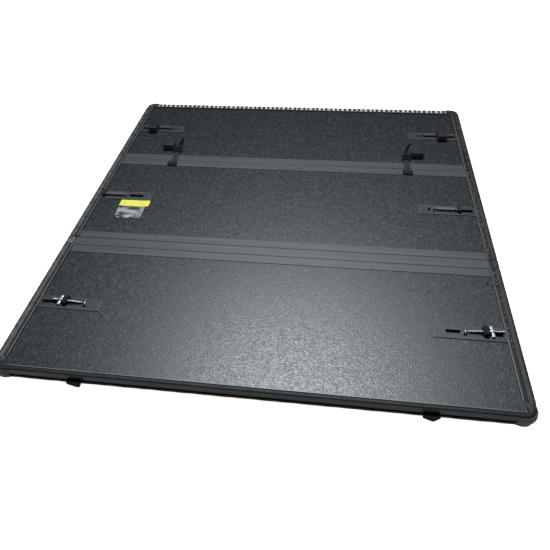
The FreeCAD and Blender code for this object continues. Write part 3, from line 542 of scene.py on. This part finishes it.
def sweptSeal(name, path, body, stands):
    # a soft roll along a plan line that runs 3 mm inside the rails: it overhangs the rail's wall, and its
    # inner side follows the groove, wide on the side rails and narrow on the front rail, with faint sine
    # waves in its height
    tangent = unitAlong(path)
    inward = np.stack([tangent[:, 1], -tangent[:, 0]], axis=-1)
    share = np.abs(tangent[:, 1:]) ** 3
    outer, inner, noseInner = (sealSizes[key] for key in ("outer", "inner", "noseInner"))
    width = noseInner - outer + (inner - noseInner) * share
    step = np.arange(len(path))
    wave = 1 - 0.03 * (0.5 + 0.5 * np.sin(step * 0.9)) - 0.03 * np.sin(step * 0.23)
    fixed = np.array([0, 0, -3.4, -3.8, -2.6, 0, 0, 0, 0, 0, 0])
    scaled = np.array([0, 0, 0, 0, 0, 0.12, 0.35, 0.6, 0.85, 1, 1])
    high = np.array([0, 2.9, 3.0, 4.4, 6.2, 7.1, 7.4, 7.1, 6.0, 3.4, 0]) * wave[:, None]
    rings = np.zeros((len(path), len(fixed), 3))
    rings[..., :2] = path[:, None] + inward[:, None] * ((fixed + width * scaled) * mm)[..., None]
    rings[..., 2] = sealLow + high * mm
    addPiece(name, [loft(rings)], edgeRubber, body, stands, 60)


def cornerLine(edge, reach):
    # down a side rail and round a quarter circle at the corner beside the given edge, 3 mm inside the rails
    outer, radius = sealSizes["outer"] * mm, sealSizes["corner"] * mm
    turn = np.linspace(0, pi / 2, 13)
    x, y = side - outer, edge + outer
    arc = np.stack([x - radius + radius * np.cos(turn), y + radius - radius * np.sin(turn)], axis=-1)
    return np.concatenate([[(x, edge + reach), (x, y + radius + 6 * mm)], arc])


def noseSeals():
    # one roll round the whole front edge, and a short roll round each far corner
    reach = sealSizes["cornerReach"] * mm
    corner = cornerLine(frontEdge, reach)
    first = corner[-1, 0] - sealSizes["noseGap"] * mm
    across = np.linspace(first, -first, 130)
    straight = np.stack([across, np.full_like(across, corner[-1, 1])], axis=-1)
    sweptSeal("front_nose_seal", np.concatenate([corner, straight, corner[::-1] * (-1, 1)]), "front_panel",
              ["front_panel_seal"])
    corner = cornerLine(-rearEdge, reach) * (1, -1)
    last = corner[-1:] - ((sealSizes["farTail"] * mm, 0),)
    sweptSeal("rear_right_corner_seal", np.concatenate([corner, last])[::-1], "rear_panel", [])
    sweptSeal("rear_left_corner_seal", np.concatenate([corner, last]) * (-1, 1), "rear_panel", [])


beaded = ("front_right", "mid_right", "spacer_left")  # the lengths with adhesive beads beside them


def sideRuns(hand, sign, seed):
    # the four lengths of seal down one side, from the front corner to the rear one, and the beads by some
    reach, edge = sealSizes["cornerReach"] * mm, beadSizes["end"] * mm
    for part, body, node in (("front", "front_panel", "front_panel_seal"),
                             ("spacer", "spacer", "spacer_seals"),
                             ("mid", "mid_panel", "mid_panel_seals"),
                             ("rear", "rear_panel", "rear_panel_seal")):
        low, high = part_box(node)
        start = frontEdge + reach if part == "front" else low.y
        end = rearEdge - reach if part == "rear" else high.y
        sideSeal(f"{part}_{hand}_seal", body, sign, start, end, [] if part == "front" else [node], seed)
        if f"{part}_{hand}" in beaded:
            first = start + (beadSizes["frontStart"] * mm if part == "front" else edge)
            pitch, finish = ((beadSizes["spacerPitch"], paleTape) if part == "spacer"
                             else (beadSizes["pitch"], dullTape))
            sideBeads(f"{part}_{hand}_beads", body, sign, first, end - edge, pitch, finish, seed)
        seed += 1


noseSeals()
farSeal()
sideRuns("right", 1, 10)
sideRuns("left", -1, 20)
print("seals made")


# front edge: a dark lip and gap strips as painted shadow, corner boots, strap catches and plug, sizes in mm

edgeSizes = dict(lipBottom=-7.5, lipInner=7.0, lipEnd=28.0, bootOut=11.0, bootReach=45.0, bootRadius=33.0,
                 catch=490.0, shadowStrip=3.0, shadowStripEnd=2.0, plug=(694.0, -303.0), plugHalf=4.5, plugHigh=2.2)


def edgePath(reach, radius, out):
    # the plan line round the right front corner, from the side rail to the front rail by a quarter circle,
    # out mm outside the rails
    turn = np.linspace(0, pi / 2, 15)
    x, y = side + out * mm, frontEdge - out * mm
    bend = (radius + out) * mm
    arc = np.stack([x - bend + bend * np.cos(turn), y + bend - bend * np.sin(turn)], axis=-1)
    first = [(x, frontEdge + reach * mm * k) for k in (1.0, 0.9, 0.8)]
    last = [(side - reach * mm * k, y) for k in (0.8, 0.9, 1.0)]
    return np.concatenate([first, arc, last])


def cornerBoot(name, sign):
    # a moulded boot round a front corner: a closed section swept along the corner's plan line, drawn in at
    # both ends by a power of the sine and softly creased by two sine waves
    size = edgeSizes
    inner = edgePath(size["bootReach"], size["bootRadius"], 0.05)
    outer = edgePath(size["bootReach"], size["bootRadius"], size["bootOut"])
    t = np.linspace(0, 1, len(inner))
    swell = (0.12 + 0.88 * np.sin(pi * t) ** 0.6 + 0.06 * np.sin(31 * t) * np.sin(pi * t)
             + 0.05 * np.sin(17 * t + 1))
    section = [(0.0, -3.5), (0.55, -4.0), (0.9, 1.0), (1.0, 10.0), (0.98, 22.0), (0.8, 31.0), (0.45, 35.2),
               (0.0, 36.4)]
    rings = np.zeros((len(inner), len(section), 3))
    for index, (out, z) in enumerate(section):
        rings[:, index, :2] = inner + (outer - inner) * (out * swell)[:, None]
        rings[:, index, 2] = z * mm
    rings[..., 0] *= sign
    addPiece(name, [loft(rings)], bootPlastic, "front_panel", (), 55)


def shadowLip():
    # a soft dark lip under the front rail's outer edge, rippled by two slow sine waves: painted shade
    # standing in for the shadow under the cover's front edge
    bottom, inner = edgeSizes["lipBottom"], edgeSizes["lipInner"]
    end = side - edgeSizes["lipEnd"] * mm
    x = np.linspace(-end, end, 240)
    ripple = 0.25 * np.sin(x / mm * 0.11) + 0.2 * np.sin(x / mm * 0.047 + 2)
    section = np.array([(0.6, 3.4), (0.2, 0.0), (0.5, bottom + 1.2), (1.6, bottom), (3.4, bottom + 0.6),
                        (inner, 3.4)])
    rings = np.zeros((len(x), len(section), 3))
    rings[..., 0] = x[:, None]
    rings[..., 1] = frontEdge + section[:, 0] * mm + (ripple * 0.4 * mm)[:, None]
    rings[..., 2] = section[:, 1] * mm
    rings[:, 2:5, 2] += (ripple * mm)[:, None]
    addPiece("front_shadow_lip", [loft(rings)], shadowRubber, "front_panel", (), 50)


def strapCatches():
    # two hooks under the front rail: a lopsided V drawn straight out from the rail's face and eased in front
    outline = np.array([(-27, 13), (17, 13), (15, 7), (10, 1), (6, -8.5), (-4, -8.5), (-27, 5)])
    depth = np.array([0.0, -1.0, -11.0, -12.0])
    shrink = np.array([1.0, 1.0, 1.0, 0.93])
    shells = []
    for sign in (-1, 1):
        rings = np.zeros((len(depth), len(outline), 3))
        rings[..., 0] = sign * edgeSizes["catch"] * mm + outline[:, 0] * shrink[:, None] * mm
        rings[..., 1] = frontEdge + depth[:, None] * mm
        rings[..., 2] = (7 + (outline[:, 1] - 7) * shrink[:, None]) * mm
        shells.append(loft(rings))
    addPiece("front_catches", shells, darkPlastic, "front_panel", ["strap_catches"], 30)


def gapStrip(name, first, second):
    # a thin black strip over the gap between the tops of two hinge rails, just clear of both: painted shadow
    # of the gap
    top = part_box(first)[1].z
    edges = []
    for node, pick in ((first, np.max), (second, np.min)):
        points = np.empty(len(nodes[node].data.vertices) * 3)
        nodes[node].data.vertices.foreach_get("co", points)
        points = points.reshape(-1, 3)
        edges.append(pick(points[points[:, 2] > top - 0.1 * mm, 1]))
    y, wide = sum(edges) / 2, edgeSizes["shadowStrip"] * mm
    reach = min(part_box(first)[1].x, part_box(second)[1].x) - edgeSizes["shadowStripEnd"] * mm
    shadowStrip = strip((-reach, y, top), (reach, y, top), (0, 1, 0), 0.08 * mm, 0.5 * mm, wide)
    addPiece(name, [shadowStrip], shadowRubber, "spacer")


def panelPlug():
    # a small round-cornered plug at the right of the front panel, sunk 0.3 mm in the skin
    x, y = edgeSizes["plug"]
    middle = np.array((x * mm, y * mm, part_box("front_panel_skins")[1].z - 0.3 * mm))
    half = np.array((edgeSizes["plugHalf"] * mm, edgeSizes["plugHalf"] * mm, 0))
    plug = softBlock(middle - half, middle + half + (0, 0, edgeSizes["plugHigh"] * mm), 0.8 * mm, 24)
    addPiece("panel_plug", [plug], darkPlastic, "front_panel")


shadowLip()
cornerBoot("right_corner_boot", 1)
cornerBoot("left_corner_boot", -1)
strapCatches()
# two black strips as painted shadow in the gaps between the hinge rails
gapStrip("front_gap_shadow", "front_hinge_rail", "spacer_bar")
gapStrip("second_gap_shadow", "spacer_bar", "mid_front_hinge_rail")
panelPlug()
print("front edge made")


# front clamps, sizes in mm

clampSizes = dict(rod=3.0, rodLength=110.0, rodStart=3.4, threadStart=13.0, pitch=1.25, bore=3.25,
                  eye=4.2, eyeBore=1.9, eyeWidth=6.2,
                  jawLength=16.0, jawWidth=33.0, jawLow=5.9, jawHigh=11.6, jawPower=5.0,
                  nutPlace=19.0, nutLength=12.0, hub=5.5, wingSpan=38.0, wingWidth=10.0, wingThick=4.0)


def turned(profile, outer, bore, across=False):
    # a closed profile of (distance along the axis, share of the wall) turned once round the axis, between
    # the bore's radius and the outer radius at each angle
    angle = np.linspace(0, 2 * pi, len(outer), endpoint=False)
    distance, share = np.array(profile).T
    reach = bore + share[None, :] * (outer[:, None] - bore)
    a = np.broadcast_to(distance[None, :], reach.shape)
    b, c = reach * np.cos(angle)[:, None], reach * np.sin(angle)[:, None]
    return np.stack([b, a, c] if across else [a, b, c], axis=-1)


def threadedRod(length, radius, start, pitch):
    # rings along the rod whose radius dips by a raised cosine at each pitch of the thread, past its start
    plain = np.linspace(0, min(start, length - 1.0), 6)
    thread = np.arange(start, length - 1.0, pitch / 4)
    x = np.concatenate([plain, thread, [length - 0.6, length]])
    depth = np.where((x > start) & (x < length - 1.0), 0.5 - 0.5 * np.cos((x - start) / pitch * 2 * pi), 0.0)
    r = radius - 0.34 * depth
    r[-1] = radius * 0.72
    angle = np.linspace(0, 2 * pi, 14, endpoint=False)
    return np.stack([np.broadcast_to(x[:, None], (len(x), len(angle))), r[:, None] * np.cos(angle),
                     r[:, None] * np.sin(angle)], axis=-1)


def barrel(half, rim, ease):
    # a profile for turned: a flat bore and a crowned outside whose edges are eased
    return [(-half, 0), (-half, rim), (-half * 0.8, ease), (half * 0.8, ease), (half, rim), (half, 0)]


def rodShells(size):
    # the threaded rod and the round eye about its pin, barrelled on its rim
    rod = threadedRod(size["rodLength"], size["rod"], size["threadStart"], size["pitch"])
    profile = barrel(size["eyeWidth"] / 2, 0.75, 0.95)
    profile.insert(3, (0, 1))
    eye = turned(profile, np.full(22, size["eye"]), size["eyeBore"], True)
    return [loft(rod[rod[:, 0, 0] >= size["rodStart"]]), ringLoft(eye)]


def jawShell(size):
    # a rubber jaw: a super ellipse, lower under the rod than over it, turned along a grooved profile and
    # sloping down towards its end
    angle = np.linspace(0, 2 * pi, 36, endpoint=False)
    half, power = np.where(np.sin(angle) > 0, size["jawHigh"], size["jawLow"]), size["jawPower"]
    outline = (np.abs(np.cos(angle) / (size["jawWidth"] / 2)) ** power
               + np.abs(np.sin(angle) / half) ** power) ** (-1 / power)
    end = size["jawLength"] / 2
    profile = [(-end, 0), (-end, 0.8), (-end + 0.7, 0.94), (-end + 2, 1), (-2.4, 1), (-1.8, 0.93),
               (-0.8, 0.93), (-0.2, 1), (2.0, 1), (end - 2, 0.98), (end - 0.7, 0.9), (end, 0.76), (end, 0)]
    jaw = turned(profile, outline, size["bore"])
    slope = 1 - 0.42 * np.clip(jaw[..., 0] / end, 0, 1)
    over = jaw[..., 2] - size["rod"]
    jaw[..., 2] = np.where(over > 0, size["rod"] + over * slope, jaw[..., 2])
    return jaw


def wingShell(sign, size):
    # one wing of the nut: super circle sections from the hub to the tip, widening to a rounded end
    t = np.array([0, 0.15, 0.4, 0.7, 0.88, 0.97, 1.0])
    widthShare = np.array([0.85, 0.8, 0.92, 1.0, 0.9, 0.6, 0.2])
    thickShare = np.array([1.0, 0.95, 0.8, 0.75, 0.72, 0.6, 0.3])
    y = sign * (size["hub"] - 1.2 + t * (size["wingSpan"] / 2 - size["hub"] + 1.2))
    outline = superCircle(14, 3)
    rings = np.zeros((len(t), len(outline), 3))
    rings[..., 0] = outline[None, :, 0] * (size["wingWidth"] / 2 * widthShare)[:, None]
    rings[..., 1] = y[:, None]
    rings[..., 2] = outline[None, :, 1] * (size["wingThick"] / 2 * thickShare)[:, None]
    return rings


def frontClamp(hand):
    # rod with eye, rubber jaw and winged nut, each made about the rod's pin and set along the rod
    name, size = f"front_{hand}_latch", clampSizes
    pivot = joints[f"{name}_swing"]["pos_m"]
    along = joints[f"{name}_clamp_travel"]["axis"]
    spot = frameAt(pivot, along)
    addPiece(f"{name}_threaded_rod", [toPlace(shell, spot) for shell in rodShells(size)], brightZinc,
             f"{name}_rod", [f"{name}_rod"])
    low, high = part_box(f"{name}_jaw")
    reach = ((low + high) / 2 - Vector(pivot)).dot(Vector(along)) / mm
    jaw = ringLoft(jawShell(size) + (reach, 0, 0))
    addPiece(f"{name}_rubber_jaw", [toPlace(jaw, spot)], jawFoam, f"{name}_clamp",
             [f"{name}_jaw"], 50)
    place, half = (reach + size["nutPlace"], 0, 0), size["nutLength"] / 2
    profile = [(-half, 0), (-half, 0.8), (-half + 0.8, 1), (half - 0.8, 1), (half, 0.8), (half, 0)]
    hub = turned(profile, np.full(20, size["hub"]), size["bore"])
    shells = [ringLoft(hub + place), *(loft(wingShell(sign, size) + place) for sign in (-1, 1))]
    addPiece(f"{name}_cross_nut", [toPlace(shell, spot) for shell in shells], brightZinc, f"{name}_clamp",
             [f"{name}_wing_nut"])


for hand in ("right", "left"):
    frontClamp(hand)
print("front clamps made")


# rear latch blocks and rest blocks, sizes in mm

blockSizes = dict(ear=3.4, earBore=1.5, fork=3.7, cheek=8.5, heel=4.0, pad=50.0)


def rearBlock(hand):
    # a rounded block with two eared cheeks about the pin that joins it to the arm
    name, size = f"rear_{hand}_latch", blockSizes
    sign = 1 if hand == "right" else -1
    pivot = np.array(joints[f"{name}_jaw_tilt"]["pos_m"])
    spot = frameAt(pivot, (sign, 0, 0))
    low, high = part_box(f"{name}_jaw")
    near = abs(pivot[0]) + size["heel"] * mm
    ends = sorted((sign * near, sign * max(abs(low.x), abs(high.x))))
    shells = [softBlock((ends[0], low.y, low.z), (ends[1], high.y, high.z), 1.6 * mm, 40, 0.4 * mm)]
    half, web = (size["cheek"] - size["fork"]) / 2, sign * (size["heel"] + 1)
    for cheek in (-1, 1):
        centre = cheek * (size["fork"] + size["cheek"]) / 2
        ear = turned(barrel(half, 0.9, 1), np.full(20, size["ear"]), size["earBore"], True)
        shells.append(toPlace(ringLoft(ear + (0, centre, 0)), spot))
        webLow = np.array((min(0, web), centre - half, -size["ear"])) * mm + pivot
        webHigh = np.array((max(0, web), centre + half, size["ear"])) * mm + pivot
        shells.append(softBlock(webLow, webHigh, 0.6 * mm, 16))
    pin = threadedRod(2 * size["cheek"], size["earBore"], 99.0, 1.0)[:, :, [1, 0, 2]] - (0, size["cheek"], 0)
    shells.append(toPlace(loft(pin), spot))
    addPiece(f"{name}_block", shells, blockPlastic, f"{name}_jaw", [f"{name}_jaw"])


def restBlocks():
    # two foam pads with rounded edges, a little hollow on top
    low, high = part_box("rest_blocks")
    shells = []
    for sign in (-1, 1):
        ends = sorted((sign * (high.x - blockSizes["pad"] * mm), sign * high.x))
        shells.append(softBlock((ends[0], low.y, low.z), (ends[1], high.y, high.z), 2.0 * mm, 40, -0.5 * mm))
    pads = addPiece("foam_rest_blocks", shells, blackFoam, "rear_panel", ["rest_blocks"])


for hand in ("right", "left"):
    rearBlock(hand)
restBlocks()
print("blocks made")


# track rims, painted lighter than the plates as edge highlights, sizes in mm

rimSizes = dict(corner=9.0, wide=2.0, high=0.5, end=1.0)


def trackRim(panel, hand):
    # a rolled rim along the three open sides of a track plate: a flat D section swept round two corner arcs,
    # its lighter paint a painted highlight on the plate's edge
    low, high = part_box(f"{panel}_{hand}_latch_track")
    inner, outer = sorted((abs(low.x), abs(high.x)))
    sign = 1 if hand == "right" else -1
    half, radius, end = (high.y - low.y) / 2, rimSizes["corner"] * mm, outer - rimSizes["end"] * mm
    turn = np.linspace(0, pi / 2, 8)
    arc = np.stack([inner + radius - radius * np.sin(turn), half - radius + radius * np.cos(turn)], axis=-1)
    path = np.concatenate([[(end, half)], arc, arc[::-1] * (1, -1), [(end, -half)]])
    tangent = unitAlong(path)
    inward = np.stack([-tangent[:, 1], tangent[:, 0]], axis=-1)
    section = np.array([(0, 0), (0.15, 0.8), (0.5, 1), (0.85, 0.8), (1, 0)])
    rings = np.zeros((len(path), len(section), 3))
    rings[..., :2] = path[:, None] + inward[:, None] * (section[:, :1] * rimSizes["wide"] * mm)
    rings[..., 0] *= sign
    rings[..., 1] += (low.y + high.y) / 2
    rings[..., 2] = high.z + section[:, 1] * rimSizes["high"] * mm
    addPiece(f"{panel}_{hand}_track_rim", [loft(rings)], rimHighlightPaint, f"{panel}_panel", (), 60)


for panel in ("front", "mid", "rear"):
    for hand in ("right", "left"):
        trackRim(panel, hand)
print("track rims made")


# screws, sizes in mm

screwSizes = dict(radius=4.0, dome=2.0, recess=1.2, shank=2.0, crossHalf=0.55, crossReach=2.3,
                  turns=(0.5, 0.2))


def panHead(turn):
    # a polar grid: the dome falls with the square of the radius, and a cross is pressed into it
    size = screwSizes
    r = np.array([0.05, 0.5, 1.0, 1.5, 2.0, 2.5, 3.1, 3.7, 4.0, 4.0]) / 4.0 * size["radius"]
    angle = np.linspace(0, 2 * pi, 32, endpoint=False)
    x, y = r[:, None] * np.cos(angle), r[:, None] * np.sin(angle)
    z = size["dome"] * (1 - 0.55 * (r / size["radius"]) ** 2)
    z[-1] = 0.0
    u, v = np.abs(x * np.cos(turn) + y * np.sin(turn)), np.abs(y * np.cos(turn) - x * np.sin(turn))
    inCross = (np.minimum(u, v) < size["crossHalf"]) & (np.maximum(u, v) < size["crossReach"])
    return np.stack([x, y, z[:, None] - np.where(inCross, size["recess"], 0.0)], axis=-1)


def trackScrews(panel):
    # one screw at each end of the panel's tracks: a pan head over a threaded shank that points down
    low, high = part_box(f"{panel}_track_screws")
    seat = high.z - screwSizes["dome"] * mm
    shank = threadedRod((seat - low.z) / mm, screwSizes["shank"], 3.0, 1.5)[:, :, [1, 2, 0]] * (1, 1, -1)
    shells = []
    for sign, turn in zip((-1, 1), screwSizes["turns"]):
        place = np.array((sign * (high.x - screwSizes["radius"] * mm), (low.y + high.y) / 2, seat))
        shells += [loft(panHead(turn) * mm + place), loft(shank * mm + place)]
    addPiece(f"{panel}_pan_screws", shells, blackSteel, f"{panel}_panel",
             [f"{panel}_track_screws"])


for panel in ("front", "mid", "rear"):
    trackScrews(panel)
print("screws made")


# stow straps, sizes in mm; each tail is (side, lean, bow, twist in degrees)

strapSizes = dict(width=25.0, thick=1.6, inset=487.0, anchorStart=258.0, anchorLength=26.0, buckleStart=351.0,
                  buckleEnd=384.0, buckleHalf=17.0, tailEnd=412.0, tailWidth=0.55,
                  tails=((1, 13.0, -4.0, 64.0), (-1, 22.0, 13.0, 92.0)))


def ribbon(path, widths, normals, thick):
    # a tape along a path: each ring is a flat lens of 10 points, its half height an eighth-power law
    t = np.linspace(0, 1, 5)
    edge = 0.5 * np.sqrt(np.maximum(1 - (2 * t - 1) ** 8, 0))
    section = np.concatenate([np.stack([t - 0.5, edge], -1), np.stack([0.5 - t, -edge], -1)])
    tangent = unitAlong(path)
    across = np.cross(tangent, normals)
    across /= np.linalg.norm(across, axis=1)[:, None]
    normals = np.cross(across, tangent)
    return (path[:, None] + across[:, None] * (section[None, :, 0] * widths[:, None])[..., None]
            + normals[:, None] * (section[:, 1] * thick)[None, :, None])


def smoothCurve(points, count):
    # a Bezier curve: neighbouring control points are blended by t, and their blends again, until one is left
    t = np.linspace(0, 1, count)[:, None]
    layers = [np.broadcast_to(np.array(point, float), (count, 3)) for point in points]
    while len(layers) > 1:
        layers = [a * (1 - t) + b * t for a, b in zip(layers, layers[1:])]
    return layers[0]


def tapeMap(strap):
    # the weave's map: across the tape in U and along it in V, both in tape widths
    mesh = strap.data
    points, corner = np.empty(len(mesh.vertices) * 3), np.zeros(len(mesh.loops), int)
    mesh.vertices.foreach_get("co", points)
    mesh.loops.foreach_get("vertex_index", corner)
    x, y, z = points.reshape(-1, 3).T / mm
    u, v = (np.abs(x) - strapSizes["inset"]) / strapSizes["width"], (y + z) / strapSizes["width"]
    layer = mesh.uv_layers.new(name="tapeMap")
    layer.data.foreach_set("uv", np.stack([u[corner], v[corner]], axis=-1).astype(np.float32).ravel())


def stowStraps():
    # each strap runs from its anchor to the buckle with a slight sine lift, and a stiff tail stands up
    # beyond it on a Bezier curve, narrowing and twisting evenly
    size = strapSizes
    low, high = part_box("stow_straps")
    z, top = low.z / mm + size["thick"] / 2, high.z / mm - 1.2
    end = size["buckleEnd"]
    runs, tails = [], []
    for sign, lean, bow, turn in size["tails"]:
        x = sign * size["inset"]
        y = np.linspace(size["anchorStart"] + 10, end, 40)
        lift = 0.7 * np.sin(np.linspace(0, pi, 40)) ** 2
        run = np.stack([np.full(40, x), y, z + lift], axis=-1)
        flat = np.broadcast_to((0.0, 0.0, 1.0), run.shape)
        runs.append(loft(ribbon(run, np.full(40, size["width"]), flat, size["thick"]) * mm))
        tail = smoothCurve([(x, end - 6, z + 3.2), (x + 1, end + 12, z + 3.5), (x + bow, end + 18, z + 22),
                            (x + lean, size["tailEnd"], top)], 30)
        share = np.linspace(0, 1, 30)
        twist, rise = radians(turn) * share, share * 1.2
        up = np.stack([np.sin(twist), -np.sin(rise) * np.cos(twist), np.cos(twist) * np.cos(rise)], axis=-1)
        widths = size["width"] * (1 - (1 - size["tailWidth"]) * share)
        tails.append(loft(ribbon(tail, widths, up, size["thick"]) * mm))
    tapeMap(addPiece("webbing_straps", runs, strapWeave, "mid_panel", ["stow_straps"], 60))
    # the tails take the darker, painted-shade copy of the webbing
    tapeMap(addPiece("webbing_tails", tails, shadedTailWeave, "mid_panel", (), 60))


def softBars(radius, *bars):
    # rounded bars, each given in mm as (x, y) to (x, y) and low to high
    return [softBlock(np.array((*first, low)) * mm, np.array((*last, high)) * mm, radius * mm, 20)
            for first, last, low, high in bars]


def buckleShells(x, low, high):
    # a ladder-lock buckle: two side bars and three cross bars at different heights
    half, near, far = (strapSizes[key] for key in ("buckleHalf", "buckleStart", "buckleEnd"))
    low += 0.8
    return softBars(
        0.9, ((x - half, near), (x - half + 4.4, far), low, high),
        ((x + half - 4.4, near), (x + half, far), low, high),
        ((x - half + 1, near), (x + half - 1, near + 5), low, high - 1.5),
        ((x - half + 1, near + 12), (x + half - 1, near + 18), low + 2.6, high),
        ((x - half + 1, far - 6), (x + half - 1, far), low + 2.4, high - 0.5))


def anchorShells(x, near, low):
    # the anchor plate: a cross bar, two side bars and a thin plate over the strap
    far = near + strapSizes["anchorLength"]
    return softBars(
        0.8, ((x - 20, near), (x + 20, near + 10), low, low + 6.0),
        ((x - 20, near + 9), (x - 13.5, far), low, low + 5.0),
        ((x + 13.5, near + 9), (x + 20, far), low, low + 5.0),
        ((x - 15, near + 9), (x + 15, far - 4), low + 2.6, low + 4.6))


def strapHardware():
    # a buckle and an anchor for each strap
    low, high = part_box("strap_anchors_and_buckles")
    places = [sign * strapSizes["inset"] for sign in (1, -1)]
    buckles = [shell for x in places for shell in buckleShells(x, low.z / mm, high.z / mm)]
    anchors = [shell for x in places for shell in anchorShells(x, low.y / mm, low.z / mm)]
    addPiece("strap_hardware", buckles + anchors, darkPlastic, "mid_panel",
             ["strap_anchors_and_buckles"])


stowStraps()
strapHardware()
print("straps made")


# labels, sizes in mm

labelSizes = dict(topWidth=36.0, topOver=2.0, topShort=7.0, topCurl=2.2, lowWidth=68.0, lowLength=103.0,
                  gap=18.0, lowCurl=1.6, tear=0.05, thick=0.25)


def curledLabel(low, high, curl, seed, tear):
    # a thin film on a grid: three corners lift by the square of their nearness, waves run across it, and
    # its near edge is torn by five seeded sine waves
    chance = np.random.default_rng(seed)
    u, v = np.meshgrid(np.linspace(0, 1, 34), np.linspace(0, 1, 26), indexing="ij")
    ragged = tear * sum(chance.uniform(-1, 1) * np.sin((4 + 7 * k) * u + chance.uniform(0, 6))
                        for k in range(5))
    x = low[0] + (high[0] - low[0]) * u
    y = low[1] + (high[1] - low[1]) * (v + (1 - v) * (0.1 + ragged) * (tear > 0))
    lift = sum(curl * np.clip(1 - np.hypot(u - a, v - b) / 0.32, 0, 1) ** 2
               for a, b in ((0, 0), (1, 1), (1, 0)))
    z = low[2] + lift + 0.10 * mm * (1 + np.sin(9 * u + 4 * v))
    top = np.stack([x, y, z + labelSizes["thick"] * mm], axis=-1)
    under = np.stack([x, y, z], axis=-1)
    index = np.arange(u.size).reshape(u.shape)
    quads = np.stack([index[:-1, :-1], index[1:, :-1], index[1:, 1:], index[:-1, 1:]], axis=-1).reshape(-1, 4)
    rim = np.concatenate([index[:, 0], index[-1, 1:], index[-2::-1, -1], index[0, -2:0:-1]])
    nextRim = np.roll(rim, -1)
    walls = np.stack([rim, rim + u.size, nextRim + u.size, nextRim], axis=-1)
    faces = quads.tolist() + (quads[:, ::-1] + u.size).tolist() + walls.tolist()
    return np.concatenate([top.reshape(-1, 3), under.reshape(-1, 3)]), faces


def careLabels():
    # a yellow film over the far edge of the CAD label's place and a torn grey one nearer, both blank
    size = labelSizes
    low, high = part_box("care_labels")
    film = curledLabel((low.x - size["topOver"] * mm, high.y - size["topWidth"] * mm, low.z),
                       (high.x - size["topShort"] * mm, high.y, low.z), size["topCurl"] * mm, 5, 0.0)
    addPiece("top_label_film", [film], yellowLabel, "mid_panel", ["care_labels"])
    right = high.x - size["gap"] * mm
    film = curledLabel((right - size["lowLength"] * mm, low.y, low.z),
                       (right, low.y + size["lowWidth"] * mm, low.z), size["lowCurl"] * mm, 8, size["tear"])
    addPiece("low_label_film", [film], greyLabel, "mid_panel")


careLabels()
print("labels made")


# floor, light and camera, in metres and watts

stageSizes = dict(floor=-0.21, width=60.0, bounce=0.12, world=0.038, keyPower=135.0, keySize=1.5,
                  keyPlace=(0.0, 0.22, 2.3), keyAim=(0.1, -0.2, 0.0), keyTint=(0.88, 0.95, 1.0))


def seenOrLit(tree, seen, lit):
    # one value where the camera sees the surface directly, another for the light it gives the cover
    path = addNode(tree, "ShaderNodeLightPath").outputs["Is Camera Ray"]
    return spread(tree, path, lit, seen, 0.0, 1.0)


def stageFloor():
    # a wide flat square, well under the cover so that the folded panels clear it
    z, half = stageSizes["floor"], stageSizes["width"] / 2
    mesh = bpy.data.meshes.new("floor")
    corners = [(-half, -half, z), (half, -half, z), (half, half, z), (-half, half, z)]
    mesh.from_pydata(corners, [], [(0, 1, 2, 3)])
    material, tree, shader = newFinish("paleFloor", Roughness=0.9, Specular_IOR_Level=0.1,
                                       Base_Color=(0.35, 0.35, 0.35, 1), Emission_Color=(1, 1, 1, 1))
    tree.links.new(seenOrLit(tree, 1.0, stageSizes["bounce"]), shader.inputs["Emission Strength"])
    mesh.materials.append(material)
    floor = bpy.data.objects.new("floor", mesh)
    bpy.context.scene.collection.objects.link(floor)


def keyLight():
    # one soft round lamp overhead
    size = stageSizes
    light = bpy.data.lights.new("key", "AREA")
    light.shape, light.size = "DISK", size["keySize"]
    light.energy, light.color = size["keyPower"], size["keyTint"]
    lamp = bpy.data.objects.new("key", light)
    lamp.location = size["keyPlace"]
    lamp.rotation_euler = (Vector(size["keyAim"]) - lamp.location).to_track_quat("-Z", "Y").to_euler()
    bpy.context.scene.collection.objects.link(lamp)


def softWorld():
    # white to the camera, dim to the object, so the cover stays dark on a white ground
    world = bpy.data.worlds.new("softWorld")
    bpy.context.scene.world = world
    world.use_nodes = True
    tree = world.node_tree
    background = tree.nodes["Background"]
    tree.links.new(seenOrLit(tree, 1.05, stageSizes["world"]), background.inputs["Strength"])
    background.inputs["Color"].default_value = (0.97, 0.985, 1.0, 1)


cameraSizes = dict(place=(0.19478, -1.33056, 1.16222), turn=9.623, tilt=42.128, roll=-3.492, lens=30.424)


def mainCamera():
    # turned about the vertical, tilted up from straight down, then rolled about its own line of sight
    camera = bpy.data.cameras.new("camera")
    camera.lens, camera.sensor_width = cameraSizes["lens"], 36.0
    holder = bpy.data.objects.new("camera", camera)
    bpy.context.scene.collection.objects.link(holder)
    turn, tilt, roll = (radians(cameraSizes[key]) for key in ("turn", "tilt", "roll"))
    holder.matrix_world = (Matrix.Translation(cameraSizes["place"]) @ Matrix.Rotation(turn, 4, "Z")
                           @ Matrix.Rotation(tilt, 4, "X") @ Matrix.Rotation(roll, 4, "Z"))
    bpy.context.scene.camera = holder


stageFloor()
keyLight()
softWorld()
mainCamera()
bpy.context.scene.view_settings.view_transform = "Standard"
print("stage set")
